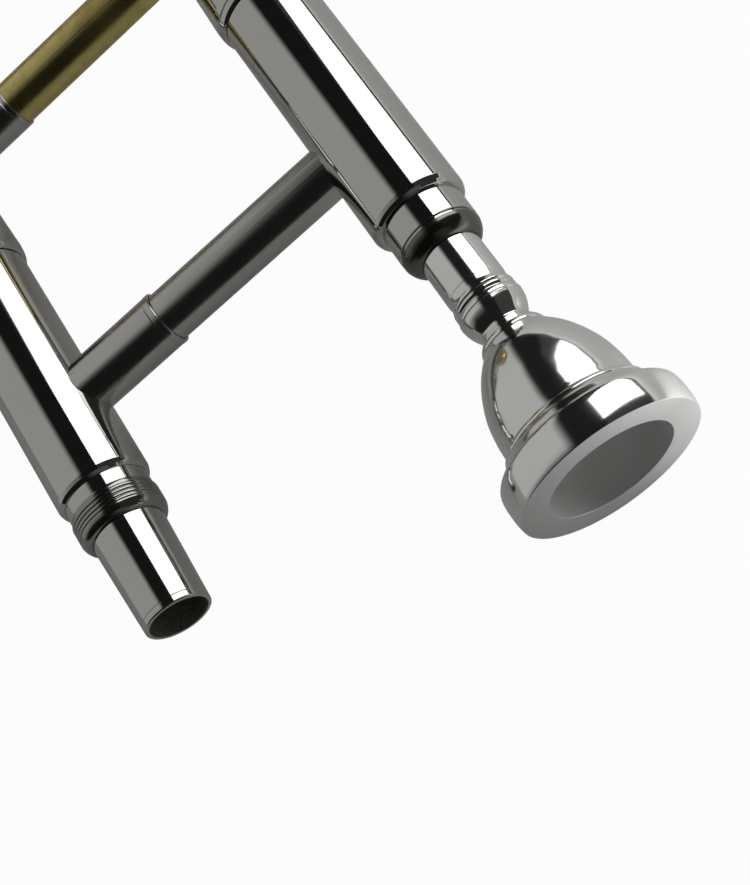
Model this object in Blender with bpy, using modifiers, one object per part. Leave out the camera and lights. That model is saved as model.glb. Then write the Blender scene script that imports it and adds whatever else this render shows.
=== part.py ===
"""Tenor trombone taken apart: the hand slide with its mouthpiece, and the bell section beside it.

Metres, +Z up. Each half has its own frame, held by an empty. Along both halves X runs back
towards the player. In the slide's frame the tenon's end is at X 0, the tenon side's tube lies
on Y 0 and the mouthpiece side's tube on Y TUBE_SPACING. In the bell's frame the rim is at X 0
on the bell's own axis, and the neckpipe lies on Y BELL_OFFSET.
"""
import math

import bmesh
import bpy

# Gaps between pieces
SEAT_GAP = 0.0003
SOLDER_GAP = 0.00012
RUNNING_GAP = 0.0002

# Hand slide, tubes
TUBE_SPACING = 0.0821
INNER_BORE_RADIUS = 0.0062
INNER_TUBE_WALL = 0.0003
STOCKING_LENGTH = 0.110
STOCKING_STEP = 0.00025
STOCKING_TAPER = 0.003
OUTER_TUBE_WALL = 0.0003
INNER_TUBE_SHORTER = 0.008
SLIDE_TRAVEL = 0.585
SLIDE_OVERLAP = 0.0745

# Cork barrels and their front collars
BARREL_RADIUS = 0.0099
BARREL_WALL = 0.0006
BARREL_REAR = -0.0294
BARREL_LENGTH = 0.0731
BARREL_SHOULDER = 0.0020
COLLAR_RADIUS = 0.0108
COLLAR_WALL = 0.0010
COLLAR_LIP = 0.00014
COLLAR_LENGTH = 0.0136
COLLAR_NOSE = 0.0008
COLLAR_HEEL = 0.0036
PLUG_FRONT = -0.0560
CORK_LENGTH = 0.0080
CORK_WALL = 0.0017

# Tenon side
TENON_END_RADIUS = 0.00702
TENON_TAPER = 0.030
TENON_WALL = 0.0009
TENON_EDGE = 0.0004
TENON_LENGTH = 0.0200
TENON_SEAT = 0.0300
THREAD_RADIUS = 0.0086
THREAD_LENGTH = 0.0070
THREAD_CHAMFER = 0.0005
TENON_NECK_RADIUS = 0.0083

# Mouthpiece side
RECEIVER_END = -0.0195
RECEIVER_RADIUS = 0.00845
RECEIVER_RING = 0.0037
RECEIVER_GROOVE = 0.0004
RECEIVER_LIP_RADIUS = 0.0066
LEADPIPE_LENGTH = 0.200
LEADPIPE_WALL = 0.0004
LEADPIPE_VENTURI_RADIUS = 0.0050

# Mouthpiece
RIM_RADIUS = 0.0187
RIM_FACE = 0.0319
RIM_HEIGHT = 0.0127
RIM_EDGE = 0.0012
RIM_SHOULDER = 0.0042
CUP_RADIUS = 0.0127
CUP_DEPTH = 0.0235
CUP_OUTER_RADIUS = 0.0138
CUP_DOME_RADIUS = 0.0336
CUP_DOME_LENGTH = 0.0187
THROAT_RADIUS = 0.0032
THROAT_LENGTH = 0.0050
SHANK_RADIUS = 0.0061
SHANK_TIP_RADIUS = 0.0054
SHANK_TAPER_LENGTH = 0.0270
BACKBORE_RADIUS = 0.0045
# Neck, bulb and bead behind the cup: (distance from the rim face, radius)
NECK_PROFILE = (
    (0.0334, 0.00575),
    (0.0345, 0.00500),
    (0.0367, 0.00607),
    (0.0386, 0.00662),
    (0.0398, 0.00650),
    (0.0420, 0.00630),
    (0.0433, 0.00594),
    (0.0450, 0.00610))
# Inside of the cup from the throat to the rim: (share of the depth, share of the widening)
CUP_PROFILE = ((0.0, 0.0), (0.04, 0.16), (0.16, 0.42), (0.40, 0.76), (0.72, 0.95), (1.0, 1.0))

# Inner and outer braces
INNER_BRACE_X = -0.0517
INNER_BRACE_RADIUS = 0.0054
INNER_SLEEVE_WALL = 0.00045
INNER_SLEEVE_END = 0.0300
OUTER_BRACE_X = -0.1176
OUTER_BRACE_RADIUS = 0.0051
OUTER_SLEEVE_WALL = 0.00030
OUTER_SLEEVE_END = 0.0260
BRACE_WALL = 0.0006
SLEEVE_OVERLAP = 0.0140

# Outer slide
END_SLEEVE_LENGTH = 0.0660
END_SLEEVE_WALL = 0.0008
END_RING_RADIUS = 0.0088
END_RING_LENGTH = 0.0030
BOW_FERRULE_LENGTH = 0.0190
BOW_FERRULE_WALL = 0.0008
BOW_STRAIGHT = 0.0280
BUMPER_HOLDER_RADIUS = 0.0060
BUMPER_HOLDER_LENGTH = 0.0060
BUMPER_RADIUS = 0.0048
BUMPER_LENGTH = 0.0090
BUMPER_SOCKET = 0.0040

# Slide lock
STUB_RADIUS = 0.0012
STUB_X = -0.1066
STUB_HEIGHT = 0.0022
LOCK_ARM_WIDTH = 0.0022
LOCK_ARM_LENGTH = 0.0074
LOCK_FINGER_LENGTH = 0.0022
LOCK_FINGER_THICKNESS = 0.0016
LOCK_PLACE_DEG = 90.0
LOCK_REST_DEG = -32.0

# Water key
NIPPLE_RADIUS = 0.0032
NIPPLE_BORE = 0.0016
NIPPLE_HEIGHT = 0.0040
NIPPLE_FROM_FERRULE = 0.0055
KEY_PIVOT_FROM_NIPPLE = 0.0105
KEY_PIVOT_HEIGHT = 0.0055
KEY_WIDTH = 0.0044
KEY_THICKNESS = 0.0014
KEY_EYE_RADIUS = 0.0021
KEY_REACH = 0.0290
KEY_TOUCH_RISE = 0.0060
# Upper and lower edge of the touch: (share of the reach, share of the rise)
KEY_TOUCH_TOP = ((0.45, 0.05), (0.80, 0.55), (1.0, 1.0))
KEY_TOUCH_UNDER = ((1.0, 1.0), (0.75, 0.50), (0.40, 0.0))
KEY_CORK_RADIUS = 0.0034
KEY_CORK_THICKNESS = 0.0018
KEY_CUP_VENT_RADIUS = 0.0002
KEY_SCREW_RADIUS = 0.0009
KEY_SCREW_HEAD_RADIUS = 0.0017
KEY_SCREW_HEAD_HEIGHT = 0.0009
KEY_SADDLE_LENGTH = 0.0070
KEY_EAR_GAP = 0.0102
KEY_EAR_THICKNESS = 0.0014
KEY_EAR_TOP = 0.0024
SPRING_WIRE = 0.00028
SPRING_TURNS = 2
SPRING_STEPS = 8
SPRING_RADIUS = 0.0016
SPRING_LEG = 0.0050

# Bell section
BELL_OFFSET = 0.118
BELL_RADIUS = 0.1020
BELL_LENGTH = 0.410
BELL_STEM_RADIUS = 0.0096
BELL_FLARE_DEPTH = 0.028
BELL_STATION_POWER = 2.5
BELL_SLOPE_STEP = 0.0005
BELL_WALL = 0.0006
RIM_BEAD_RADIUS = 0.0016
RIM_BEAD_FROM_DEG = 35
RIM_BEAD_TO_DEG = 235
NECKPIPE_RADIUS = 0.00735
NECKPIPE_WALL = 0.0005
NECKPIPE_LENGTH = 0.1257
BELL_RECEIVER_LENGTH = 0.043
BELL_RECEIVER_RADIUS = 0.0094
BELL_RECEIVER_COLLAR_RADIUS = 0.0100
BELL_RECEIVER_COLLAR_LENGTH = 0.0050
BELL_RECEIVER_COLLAR_SETBACK = 0.0025
BELL_SOCKET_DEPTH = 0.022
LOCK_NUT_RADIUS = 0.0120
LOCK_NUT_NOSE = 0.0060
LOCK_NUT_LIP = 0.0040
LEG_WALL = 0.0004
LEG_LENGTH = 0.085
FERRULE_WALL = 0.0009
FERRULE_LENGTH = 0.018
TUNING_PULLED = 0.009
TUNING_END_ROOM = 0.002
CROOK_STRAIGHT = 0.026
BODY_BRACE_RADIUS = 0.0030
BODY_BRACE_FOOT_RADIUS = 0.0068
BODY_BRACE_FOOT_LENGTH = 0.0050
BODY_BRACE_FOOT_REACH = 0.6
REAR_BRACE_SETBACK = 0.0147
BODY_BRACE_SPACING = 0.064
WEIGHT_RADIUS = 0.0165
WEIGHT_LENGTH = 0.0260
WEIGHT_EDGE = 0.0020

# How the two halves lie
HALVES_GAP = 0.050
BELL_SETBACK = 0.030

# Roundness
MOUTHPIECE_SEGMENTS = 24
BARREL_SEGMENTS = 20
TUBE_SEGMENTS = 16
SMALL_SEGMENTS = 12
BELL_SEGMENTS = 32
BELL_STATIONS = 10

# Worked out from the sizes above
INNER_TUBE_RADIUS = INNER_BORE_RADIUS + INNER_TUBE_WALL
STOCKING_RADIUS = INNER_TUBE_RADIUS + STOCKING_STEP
OUTER_BORE_RADIUS = STOCKING_RADIUS + RUNNING_GAP
OUTER_TUBE_RADIUS = OUTER_BORE_RADIUS + OUTER_TUBE_WALL
BARREL_BORE_RADIUS = BARREL_RADIUS - BARREL_WALL
BARREL_FRONT = BARREL_REAR - BARREL_LENGTH
PLUG_RADIUS = BARREL_BORE_RADIUS - SEAT_GAP
CORK_FRONT = PLUG_FRONT - SEAT_GAP - CORK_LENGTH
OUTER_REAR = CORK_FRONT - SEAT_GAP
INNER_FRONT = OUTER_REAR - SLIDE_TRAVEL - SLIDE_OVERLAP
OUTER_FRONT = INNER_FRONT - INNER_TUBE_SHORTER
END_SLEEVE_BORE = OUTER_TUBE_RADIUS + SOLDER_GAP
END_SLEEVE_RADIUS = END_SLEEVE_BORE + END_SLEEVE_WALL
BOW_REAR = OUTER_FRONT - SEAT_GAP
BOW_CENTRE_X = BOW_REAR - BOW_STRAIGHT
BOW_FERRULE_BORE = OUTER_TUBE_RADIUS + SOLDER_GAP
BOW_FERRULE_RADIUS = BOW_FERRULE_BORE + BOW_FERRULE_WALL
BOW_FERRULE_FRONT = OUTER_FRONT - BOW_FERRULE_LENGTH / 2
BOW_TIP = BOW_CENTRE_X - TUBE_SPACING / 2 - OUTER_TUBE_RADIUS
BUMPER_TIP = BOW_TIP - BUMPER_HOLDER_LENGTH - BUMPER_LENGTH + BUMPER_SOCKET
INNER_BRACE_BORE = INNER_BRACE_RADIUS - BRACE_WALL
OUTER_BRACE_BORE = OUTER_BRACE_RADIUS - BRACE_WALL
NIPPLE_X = BOW_FERRULE_FRONT - NIPPLE_FROM_FERRULE
KEY_PIVOT_X = NIPPLE_X - KEY_PIVOT_FROM_NIPPLE
KEY_PIVOT_Y = -OUTER_TUBE_RADIUS - KEY_PIVOT_HEIGHT
NIPPLE_TOP_Y = -OUTER_TUBE_RADIUS - NIPPLE_HEIGHT
KEY_CORK_Y = NIPPLE_TOP_Y - SEAT_GAP
AXIS_HEIGHT = RIM_RADIUS
NECK_LEG_BORE = NECKPIPE_RADIUS + RUNNING_GAP + SOLDER_GAP
NECK_LEG_RADIUS = NECK_LEG_BORE + LEG_WALL
BELL_LEG_RADIUS = BELL_STEM_RADIUS
BELL_LEG_BORE = BELL_LEG_RADIUS - LEG_WALL
BELL_INNER_LEG_RADIUS = BELL_LEG_BORE - RUNNING_GAP
FLARE_LENGTH = BELL_LENGTH - FERRULE_LENGTH
BELL_RECEIVER_FRONT = BELL_LENGTH - NECKPIPE_LENGTH - SEAT_GAP - BELL_SOCKET_DEPTH
LEG_FRONT = BELL_LENGTH + SEAT_GAP
REAR_BRACE_X = LEG_FRONT - FERRULE_LENGTH / 2 - REAR_BRACE_SETBACK
FRONT_BRACE_X = REAR_BRACE_X - BODY_BRACE_SPACING
LEG_REAR = LEG_FRONT + LEG_LENGTH
CROOK_FRONT = LEG_REAR + TUNING_PULLED
CROOK_CENTRE_X = CROOK_FRONT + CROOK_STRAIGHT + FERRULE_LENGTH / 2
CROOK_END_X = CROOK_CENTRE_X + BELL_OFFSET / 2
CROOK_MEAN_RADIUS = (NECKPIPE_RADIUS + BELL_INNER_LEG_RADIUS) / 2
RIM_OUTER_RADIUS = BELL_RADIUS + RIM_BEAD_RADIUS
BELL_TILT = math.atan2(RIM_OUTER_RADIUS, CROOK_END_X) - math.asin(
    CROOK_MEAN_RADIUS / math.hypot(RIM_OUTER_RADIUS, CROOK_END_X))
BELL_AXIS_Y = -BARREL_RADIUS - HALVES_GAP - NECKPIPE_RADIUS - BELL_OFFSET
BELL_RIM_X = BUMPER_TIP + BELL_SETBACK
BELL_RIM_Z = RIM_OUTER_RADIUS * math.cos(BELL_TILT)
CENTRE_X = (RIM_FACE + BUMPER_TIP) / 2
CENTRE_Y = (TUBE_SPACING + RIM_RADIUS + BELL_AXIS_Y - RIM_OUTER_RADIUS) / 2

ALONG_X = (0.0, math.pi / 2, 0.0)
ALONG_Y = (-math.pi / 2, 0.0, 0.0)
AGAINST_Y = (math.pi / 2, 0.0, 0.0)
ALONG_Z = (0.0, 0.0, 0.0)
MERGE = 0.00001


def clear_scene():
    for thing in list(bpy.data.objects):
        bpy.data.objects.remove(thing, do_unlink=True)


def new_collection(name):
    collection = bpy.data.collections.new(name)
    bpy.context.scene.collection.children.link(collection)
    return collection


def metal(name, colour, roughness, metallic=1.0):
    material = bpy.data.materials.new(name)
    material.use_nodes = True
    shader = material.node_tree.nodes["Principled BSDF"]
    shader.inputs["Base Color"].default_value = (*colour, 1.0)
    shader.inputs["Metallic"].default_value = metallic
    shader.inputs["Roughness"].default_value = roughness
    return material


clear_scene()
PARTS = new_collection("tenor_trombone")
CUTTERS = new_collection("cutters")

NICKEL = metal("nickel_plate", (0.60, 0.59, 0.57), 0.08)
SILVER = metal("silver_plate", (0.86, 0.86, 0.85), 0.10)
BRASS = metal("lacquered_brass", (0.63, 0.52, 0.23), 0.18)
CORK = metal("cork", (0.45, 0.30, 0.17), 0.90, metallic=0.0)
RUBBER = metal("black_rubber", (0.03, 0.03, 0.03), 0.75, metallic=0.0)
STEEL = metal("steel", (0.55, 0.55, 0.56), 0.25)


def empty(name, parent=None, location=(0.0, 0.0, 0.0), rotation=(0.0, 0.0, 0.0)):
    holder = bpy.data.objects.new(name, None)
    holder.empty_display_size = 0.02
    holder.parent = parent
    holder.location = location
    holder.rotation_euler = rotation
    PARTS.objects.link(holder)
    return holder


def add(name, mesh, material, parent, location, rotation):
    piece = bpy.data.objects.new(name, mesh)
    piece.parent = parent
    piece.location = location
    piece.rotation_euler = rotation
    if material is None:
        piece.display_type = "WIRE"
        piece.hide_render = True
        CUTTERS.objects.link(piece)
    else:
        mesh.materials.append(material)
        PARTS.objects.link(piece)
    return piece


def turned(name, outline, material, parent, segments=TUBE_SEGMENTS, location=(0.0, 0.0, 0.0),
           rotation=ALONG_X):
    """Turn an outline of (place along the axis, radius) points about its axis.

    The outline runs along the outside from the axis's far end back to its near end. A hollow
    piece's outline comes back along the bore, and a solid one's starts and ends on the axis.
    """
    solid = outline[0][1] == 0.0 and outline[-1][1] == 0.0
    count = len(outline)
    edges = [(i, i + 1) for i in range(count - 1)]
    if not solid:
        edges.append((count - 1, 0))
    mesh = bpy.data.meshes.new(name)
    mesh.from_pydata([(radius, 0.0, along) for along, radius in outline], edges, [])
    piece = add(name, mesh, material, parent, location, rotation)
    screw = piece.modifiers.new("turn", "SCREW")
    screw.axis = "Z"
    screw.angle = 2 * math.pi
    screw.steps = segments
    screw.render_steps = segments
    screw.use_merge_vertices = True
    screw.merge_threshold = MERGE
    screw.use_smooth_shade = True
    return piece


def tube(name, far, near, radius, bore, material, parent, **place):
    outline = [(far, radius), (near, radius), (near, bore), (far, bore)]
    return turned(name, outline, material, parent, **place)


def rod(name, far, near, radius, material, parent, **place):
    outline = [(far, 0.0), (far, radius), (near, radius), (near, 0.0)]
    return turned(name, outline, material, parent, **place)


def arc(along, radius, size_along, size_radius, start_deg, end_deg, steps):
    """Points of an elliptical arc about (along, radius); 0 degrees points along the axis."""
    points = []
    for i in range(steps + 1):
        angle = math.radians(start_deg + (end_deg - start_deg) * i / steps)
        points.append((along + size_along * math.cos(angle), radius + size_radius * math.sin(angle)))
    return points


def block(name, low, high, material, parent, rotation=ALONG_Z):
    """A box between two corners; a rotation turns it about the parent's origin."""
    mesh = bpy.data.meshes.new(name)
    shape = bmesh.new()
    bmesh.ops.create_cube(shape, size=1.0)
    for vertex in shape.verts:
        vertex.co = [a + (b - a) * (c + 0.5) for a, b, c in zip(low, high, vertex.co)]
    shape.to_mesh(mesh)
    shape.free()
    return add(name, mesh, material, parent, (0.0, 0.0, 0.0), rotation)


def combine(piece, other, operation="DIFFERENCE"):
    boolean = piece.modifiers.new(operation.lower() + "_" + other.name, "BOOLEAN")
    boolean.operation = operation
    boolean.solver = "EXACT"
    boolean.object = other
    return piece


def curve_mesh(name, curve, material, parent):
    """Make a curve's evaluated surface a mesh object, with its caps welded."""
    guide = bpy.data.objects.new(name + "_guide", curve)
    guide.parent = parent
    PARTS.objects.link(guide)
    bpy.context.view_layer.update()
    evaluated = guide.evaluated_get(bpy.context.evaluated_depsgraph_get())
    mesh = bpy.data.meshes.new_from_object(evaluated)
    mesh.name = name
    mesh.materials.clear()
    bpy.data.objects.remove(guide, do_unlink=True)
    shape = bmesh.new()
    shape.from_mesh(mesh)
    bmesh.ops.remove_doubles(shape, verts=shape.verts, dist=MERGE)
    shape.to_mesh(mesh)
    shape.free()
    mesh.shade_smooth()
    return add(name, mesh, material, parent, (0.0, 0.0, 0.0), ALONG_Z)


def path_curve(name, points, radius, scales=None, caps=False, resolution=4):
    curve = bpy.data.curves.new(name, "CURVE")
    curve.dimensions = "3D"
    curve.bevel_depth = radius
    curve.bevel_resolution = resolution
    curve.use_fill_caps = caps
    spline = curve.splines.new("POLY")
    spline.points.add(len(points) - 1)
    for i, point in enumerate(points):
        spline.points[i].co = (*point, 1.0)
        if scales:
            spline.points[i].radius = scales[i]
    return curve


def flat_mesh(name, outline, thickness, material, parent):
    """Extrude a closed outline in the XY plane, half its thickness each way along Z."""
    curve = bpy.data.curves.new(name, "CURVE")
    curve.dimensions = "2D"
    curve.fill_mode = "BOTH"
    curve.extrude = thickness / 2
    spline = curve.splines.new("POLY")
    spline.points.add(len(outline) - 1)
    for i, (x, y) in enumerate(outline):
        spline.points[i].co = (x, y, 0.0, 1.0)
    spline.use_cyclic_u = True
    return curve_mesh(name, curve, material, parent)


def bent_tube(name, points, radius, wall, material, parent, scales=None):
    piece = curve_mesh(name, path_curve(name, points, radius, scales, resolution=6), material, parent)
    shell = piece.modifiers.new("wall", "SOLIDIFY")
    shell.thickness = wall
    shell.offset = -1.0
    return piece


def u_path(centre_x, straight, reach_y, direction, steps):
    """A straight run, a half circle and a straight run back, in the XY plane."""
    half = reach_y / 2
    points = [(centre_x - direction * straight, 0.0, 0.0)]
    for i in range(steps + 1):
        angle = math.pi * i / steps
        points.append((centre_x + direction * half * math.sin(angle),
                       half - half * math.cos(angle), 0.0))
    points.append((centre_x - direction * straight, reach_y, 0.0))
    return points


ROOT = empty("trombone")
SLIDE = empty("hand_slide_frame", ROOT, (-CENTRE_X, -CENTRE_Y, AXIS_HEIGHT))
OUTER = empty("hand_slide", SLIDE)
BELL = empty("bell_section_frame", ROOT, (BELL_RIM_X - CENTRE_X, BELL_AXIS_Y - CENTRE_Y, BELL_RIM_Z),
             (0.0, BELL_TILT, 0.0))
SIDES = {"tenon_side": 0.0, "mouthpiece_side": TUBE_SPACING}


def barrel(name, side_y):
    """Cork barrel: a shell with a rounded shoulder behind and a seat for its collar in front."""
    seat_radius = COLLAR_RADIUS - COLLAR_WALL - SEAT_GAP
    collar_rear = BARREL_FRONT + COLLAR_LENGTH
    outline = arc(BARREL_REAR - BARREL_SHOULDER, BARREL_RADIUS - BARREL_SHOULDER,
                  BARREL_SHOULDER, BARREL_SHOULDER, 0, 90, 4)
    outline += [(collar_rear + SEAT_GAP, BARREL_RADIUS), (collar_rear + SEAT_GAP, seat_radius),
                (BARREL_FRONT, seat_radius), (BARREL_FRONT, BARREL_BORE_RADIUS),
                (BARREL_REAR - BARREL_SHOULDER, BARREL_BORE_RADIUS),
                (BARREL_REAR - BARREL_SHOULDER, BARREL_RADIUS - BARREL_SHOULDER)]
    neck = max(TENON_NECK_RADIUS, RECEIVER_RADIUS) + SEAT_GAP
    outline = [(BARREL_REAR, neck)] + [p for p in outline if p[1] > neck]
    outline += [(BARREL_REAR - BARREL_SHOULDER, neck)]
    return turned(name, outline, NICKEL, SLIDE, BARREL_SEGMENTS, (0.0, side_y, 0.0))


def collar_outline():
    """Front collar: rounded at both ends, longer at its heel towards the barrel."""
    rear = COLLAR_LENGTH
    bore = COLLAR_RADIUS - COLLAR_WALL
    rise = COLLAR_WALL - COLLAR_LIP
    heel = arc(rear - COLLAR_HEEL, COLLAR_RADIUS - rise, COLLAR_HEEL, rise, 0, 90, 4)
    nose = arc(COLLAR_NOSE, COLLAR_RADIUS - rise, COLLAR_NOSE, rise, 90, 180, 3)
    return heel + nose + [(0.0, bore), (rear, bore)]


def inner_tube(name, side_y, rear):
    """Inner tube with its front end swelled into the stocking that the outer tube runs on."""
    step = INNER_FRONT + STOCKING_LENGTH
    outline = [(rear, INNER_TUBE_RADIUS), (step + STOCKING_TAPER, INNER_TUBE_RADIUS),
               (step, STOCKING_RADIUS), (INNER_FRONT, STOCKING_RADIUS),
               (INNER_FRONT, INNER_BORE_RADIUS), (rear, INNER_BORE_RADIUS)]
    return turned(name, outline, NICKEL, SLIDE, location=(0.0, side_y, 0.0))


def bumper_cork(name, side_y):
    bore = PLUG_RADIUS - CORK_WALL
    return tube(name, CORK_FRONT + CORK_LENGTH, CORK_FRONT, PLUG_RADIUS, bore, CORK, SLIDE,
                location=(0.0, side_y, 0.0))


def build_inner_slide():
    barrel("tenon_barrel", SIDES["tenon_side"])
    barrel("mouthpiece_barrel", SIDES["mouthpiece_side"])
    turned("tenon_collar", collar_outline(), NICKEL, SLIDE, BARREL_SEGMENTS, (BARREL_FRONT, 0.0, 0.0))
    inner_tube("inner_tube_tenon_side", SIDES["tenon_side"], -TENON_LENGTH)
    inner_tube("inner_tube_mouthpiece_side", SIDES["mouthpiece_side"], receiver_seat() - SEAT_GAP)
    bumper_cork("bumper_cork_tenon_side", SIDES["tenon_side"])
    bumper_cork("bumper_cork_mouthpiece_side", SIDES["mouthpiece_side"])
    build_tenon()
    build_receiver()
    build_inner_brace()


def build_tenon():
    """Tapered tenon tube, and the threaded ring whose neck plugs the barrel."""
    root_radius = TENON_END_RADIUS + TENON_TAPER * TENON_LENGTH
    bore = TENON_END_RADIUS - TENON_WALL
    tube_seat = INNER_TUBE_RADIUS + SOLDER_GAP
    edge = TENON_EDGE
    outline = arc(-edge, TENON_END_RADIUS - edge, edge, edge, 0, 90, 2)
    outline += [(-TENON_LENGTH, root_radius), (-TENON_LENGTH - TENON_SEAT, root_radius),
                (-TENON_LENGTH - TENON_SEAT, tube_seat), (-TENON_LENGTH + SEAT_GAP, tube_seat),
                (-TENON_LENGTH + SEAT_GAP, bore), (0.0, bore)]
    turned("tenon_tube", outline, NICKEL, SLIDE, BARREL_SEGMENTS)
    rear = -TENON_LENGTH - SEAT_GAP
    front = rear - THREAD_LENGTH
    ring_bore = root_radius + SOLDER_GAP
    outline = [(rear, THREAD_RADIUS - THREAD_CHAMFER), (rear - THREAD_CHAMFER, THREAD_RADIUS),
               (front, THREAD_RADIUS), (front, TENON_NECK_RADIUS)]
    outline += plug_outline(TENON_NECK_RADIUS)
    outline += [(PLUG_FRONT, ring_bore), (rear, ring_bore)]
    turned("threaded_ring", outline, NICKEL, SLIDE, BARREL_SEGMENTS)


def plug_outline(neck_radius):
    """The step from a neck up to the plug that fills the barrel's rear end."""
    step = BARREL_REAR - BARREL_SHOULDER - SEAT_GAP
    return [(step, neck_radius), (step, PLUG_RADIUS), (PLUG_FRONT, PLUG_RADIUS)]


def shank_radius(along):
    """Radius of the mouthpiece's tapered shank at a place along the slide."""
    tip = shank_tip()
    share = (along - tip) / SHANK_TAPER_LENGTH
    return SHANK_TIP_RADIUS + (SHANK_RADIUS - SHANK_TIP_RADIUS) * min(1.0, max(0.0, share))


def shank_tip():
    return RECEIVER_END - SHANK_TAPER_LENGTH


def receiver_seat():
    """Where the receiver's taper ends and the seat of the inner tube begins."""
    return shank_tip() - SEAT_GAP


def build_receiver():
    """Mouthpiece receiver with its end ring, and the leadpipe in the inner tube."""
    ring = RECEIVER_END - RECEIVER_RING
    fit = RUNNING_GAP
    seat = receiver_seat()
    tube_seat = INNER_TUBE_RADIUS + SOLDER_GAP
    lip = RECEIVER_RADIUS - RECEIVER_LIP_RADIUS
    outline = arc(RECEIVER_END - lip, RECEIVER_LIP_RADIUS, lip, lip, 0, 90, 4)
    outline += [(ring, RECEIVER_RADIUS), (ring, RECEIVER_RADIUS - RECEIVER_GROOVE),
                (ring - RECEIVER_GROOVE, RECEIVER_RADIUS - RECEIVER_GROOVE),
                (ring - RECEIVER_GROOVE, RECEIVER_RADIUS)]
    outline += plug_outline(RECEIVER_RADIUS)
    outline += [(PLUG_FRONT, tube_seat), (seat, tube_seat), (seat, shank_radius(seat) + fit),
                (RECEIVER_END, shank_radius(RECEIVER_END) + fit)]
    turned("mouthpiece_receiver", outline, NICKEL, SLIDE, BARREL_SEGMENTS, (0.0, TUBE_SPACING, 0.0))
    rear = seat - 2 * SEAT_GAP
    front = rear - LEADPIPE_LENGTH
    radius = INNER_BORE_RADIUS - SOLDER_GAP
    tube_bore = radius - LEADPIPE_WALL
    outline = [(rear, radius), (front, radius), (front, tube_bore),
               (rear - LEADPIPE_LENGTH / 4, LEADPIPE_VENTURI_RADIUS),
               (rear, LEADPIPE_VENTURI_RADIUS)]
    turned("leadpipe", outline, BRASS, SLIDE, location=(0.0, TUBE_SPACING, 0.0))


def round_cutter(name, radius, side_y, length, centre_x, parent):
    return rod(name, centre_x + length / 2, centre_x - length / 2, radius, None, parent,
               segments=BARREL_SEGMENTS, location=(0.0, side_y, 0.0))


def build_inner_brace():
    """Brace tube coped to the mouthpiece barrel, in a sleeve coped to the tenon barrel."""
    reach = 4 * INNER_BRACE_RADIUS
    saddle_radius = BARREL_RADIUS + SEAT_GAP
    near = round_cutter("inner_brace_cope_tenon", saddle_radius, 0.0, reach, INNER_BRACE_X, SLIDE)
    far = round_cutter("inner_brace_cope_mouthpiece", saddle_radius, TUBE_SPACING, reach,
                       INNER_BRACE_X, SLIDE)
    place = {"rotation": ALONG_Y, "location": (INNER_BRACE_X, 0.0, 0.0)}
    brace = tube("inner_brace_tube", TUBE_SPACING, INNER_SLEEVE_END - SLEEVE_OVERLAP,
                 INNER_BRACE_RADIUS, INNER_BRACE_BORE, NICKEL, SLIDE, **place)
    combine(brace, far)
    sleeve_bore = INNER_BRACE_RADIUS + SOLDER_GAP
    sleeve = tube("inner_brace_sleeve", INNER_SLEEVE_END, 0.0, sleeve_bore + INNER_SLEEVE_WALL,
                  sleeve_bore, NICKEL, SLIDE, **place)
    combine(sleeve, near)


def build_slide_lock():
    """Turning lock ring with an L-shaped hook, and the stub on the outer slide that it catches."""
    turning = empty("slide_lock", SLIDE, (BARREL_FRONT, TUBE_SPACING, 0.0))
    ring = turned("slide_lock_ring", collar_outline(), NICKEL, turning, BARREL_SEGMENTS)
    low = COLLAR_RADIUS - COLLAR_WALL
    high = COLLAR_RADIUS
    face = math.radians(LOCK_PLACE_DEG + LOCK_REST_DEG)
    half = LOCK_ARM_WIDTH / 2
    arm = block("lock_arm", (-LOCK_ARM_LENGTH, -half, low + SEAT_GAP), (COLLAR_HEEL, half, high),
                None, turning, rotation=(-face, 0.0, 0.0))
    finger = block("lock_finger", (-LOCK_ARM_LENGTH, half - SEAT_GAP, low + SEAT_GAP),
                   (-LOCK_ARM_LENGTH + LOCK_FINGER_THICKNESS, half + LOCK_FINGER_LENGTH, high),
                   None, turning, rotation=(-face, 0.0, 0.0))
    combine(arm, finger, "UNION")
    combine(ring, arm, "UNION")
    stand = math.radians(LOCK_PLACE_DEG)
    base = END_SLEEVE_RADIUS + SOLDER_GAP
    rod("slide_lock_stub", base + STUB_HEIGHT, base, STUB_RADIUS, NICKEL, OUTER,
        segments=SMALL_SEGMENTS, location=(STUB_X, TUBE_SPACING, 0.0),
        rotation=(-stand, 0.0, 0.0))


def end_sleeve(name, side_y):
    """Stout sleeve on the outer tube's rear end, with the ring that meets the bumper cork."""
    front = OUTER_REAR - END_SLEEVE_LENGTH
    ring = OUTER_REAR - END_RING_LENGTH
    edge = (END_RING_RADIUS - END_SLEEVE_RADIUS) / 2
    outline = [(OUTER_REAR, END_RING_RADIUS - edge), (OUTER_REAR - edge, END_RING_RADIUS),
               (ring + edge, END_RING_RADIUS), (ring, END_SLEEVE_RADIUS),
               (front + edge, END_SLEEVE_RADIUS), (front, END_SLEEVE_BORE + edge),
               (front, END_SLEEVE_BORE), (OUTER_REAR, END_SLEEVE_BORE)]
    return turned(name, outline, NICKEL, OUTER, location=(0.0, side_y, 0.0))


def ferrule(name, centre, length, bore, wall, material, parent, side_y, segments=TUBE_SEGMENTS):
    """A sleeve over a joint, thinned towards both ends."""
    half = length / 2
    edge = wall / 2
    outline = [(centre + half, bore + edge), (centre + half - 2 * edge, bore + wall),
               (centre - half + 2 * edge, bore + wall), (centre - half, bore + edge),
               (centre - half, bore), (centre + half, bore)]
    return turned(name, outline, material, parent, segments, (0.0, side_y, 0.0))


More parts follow.
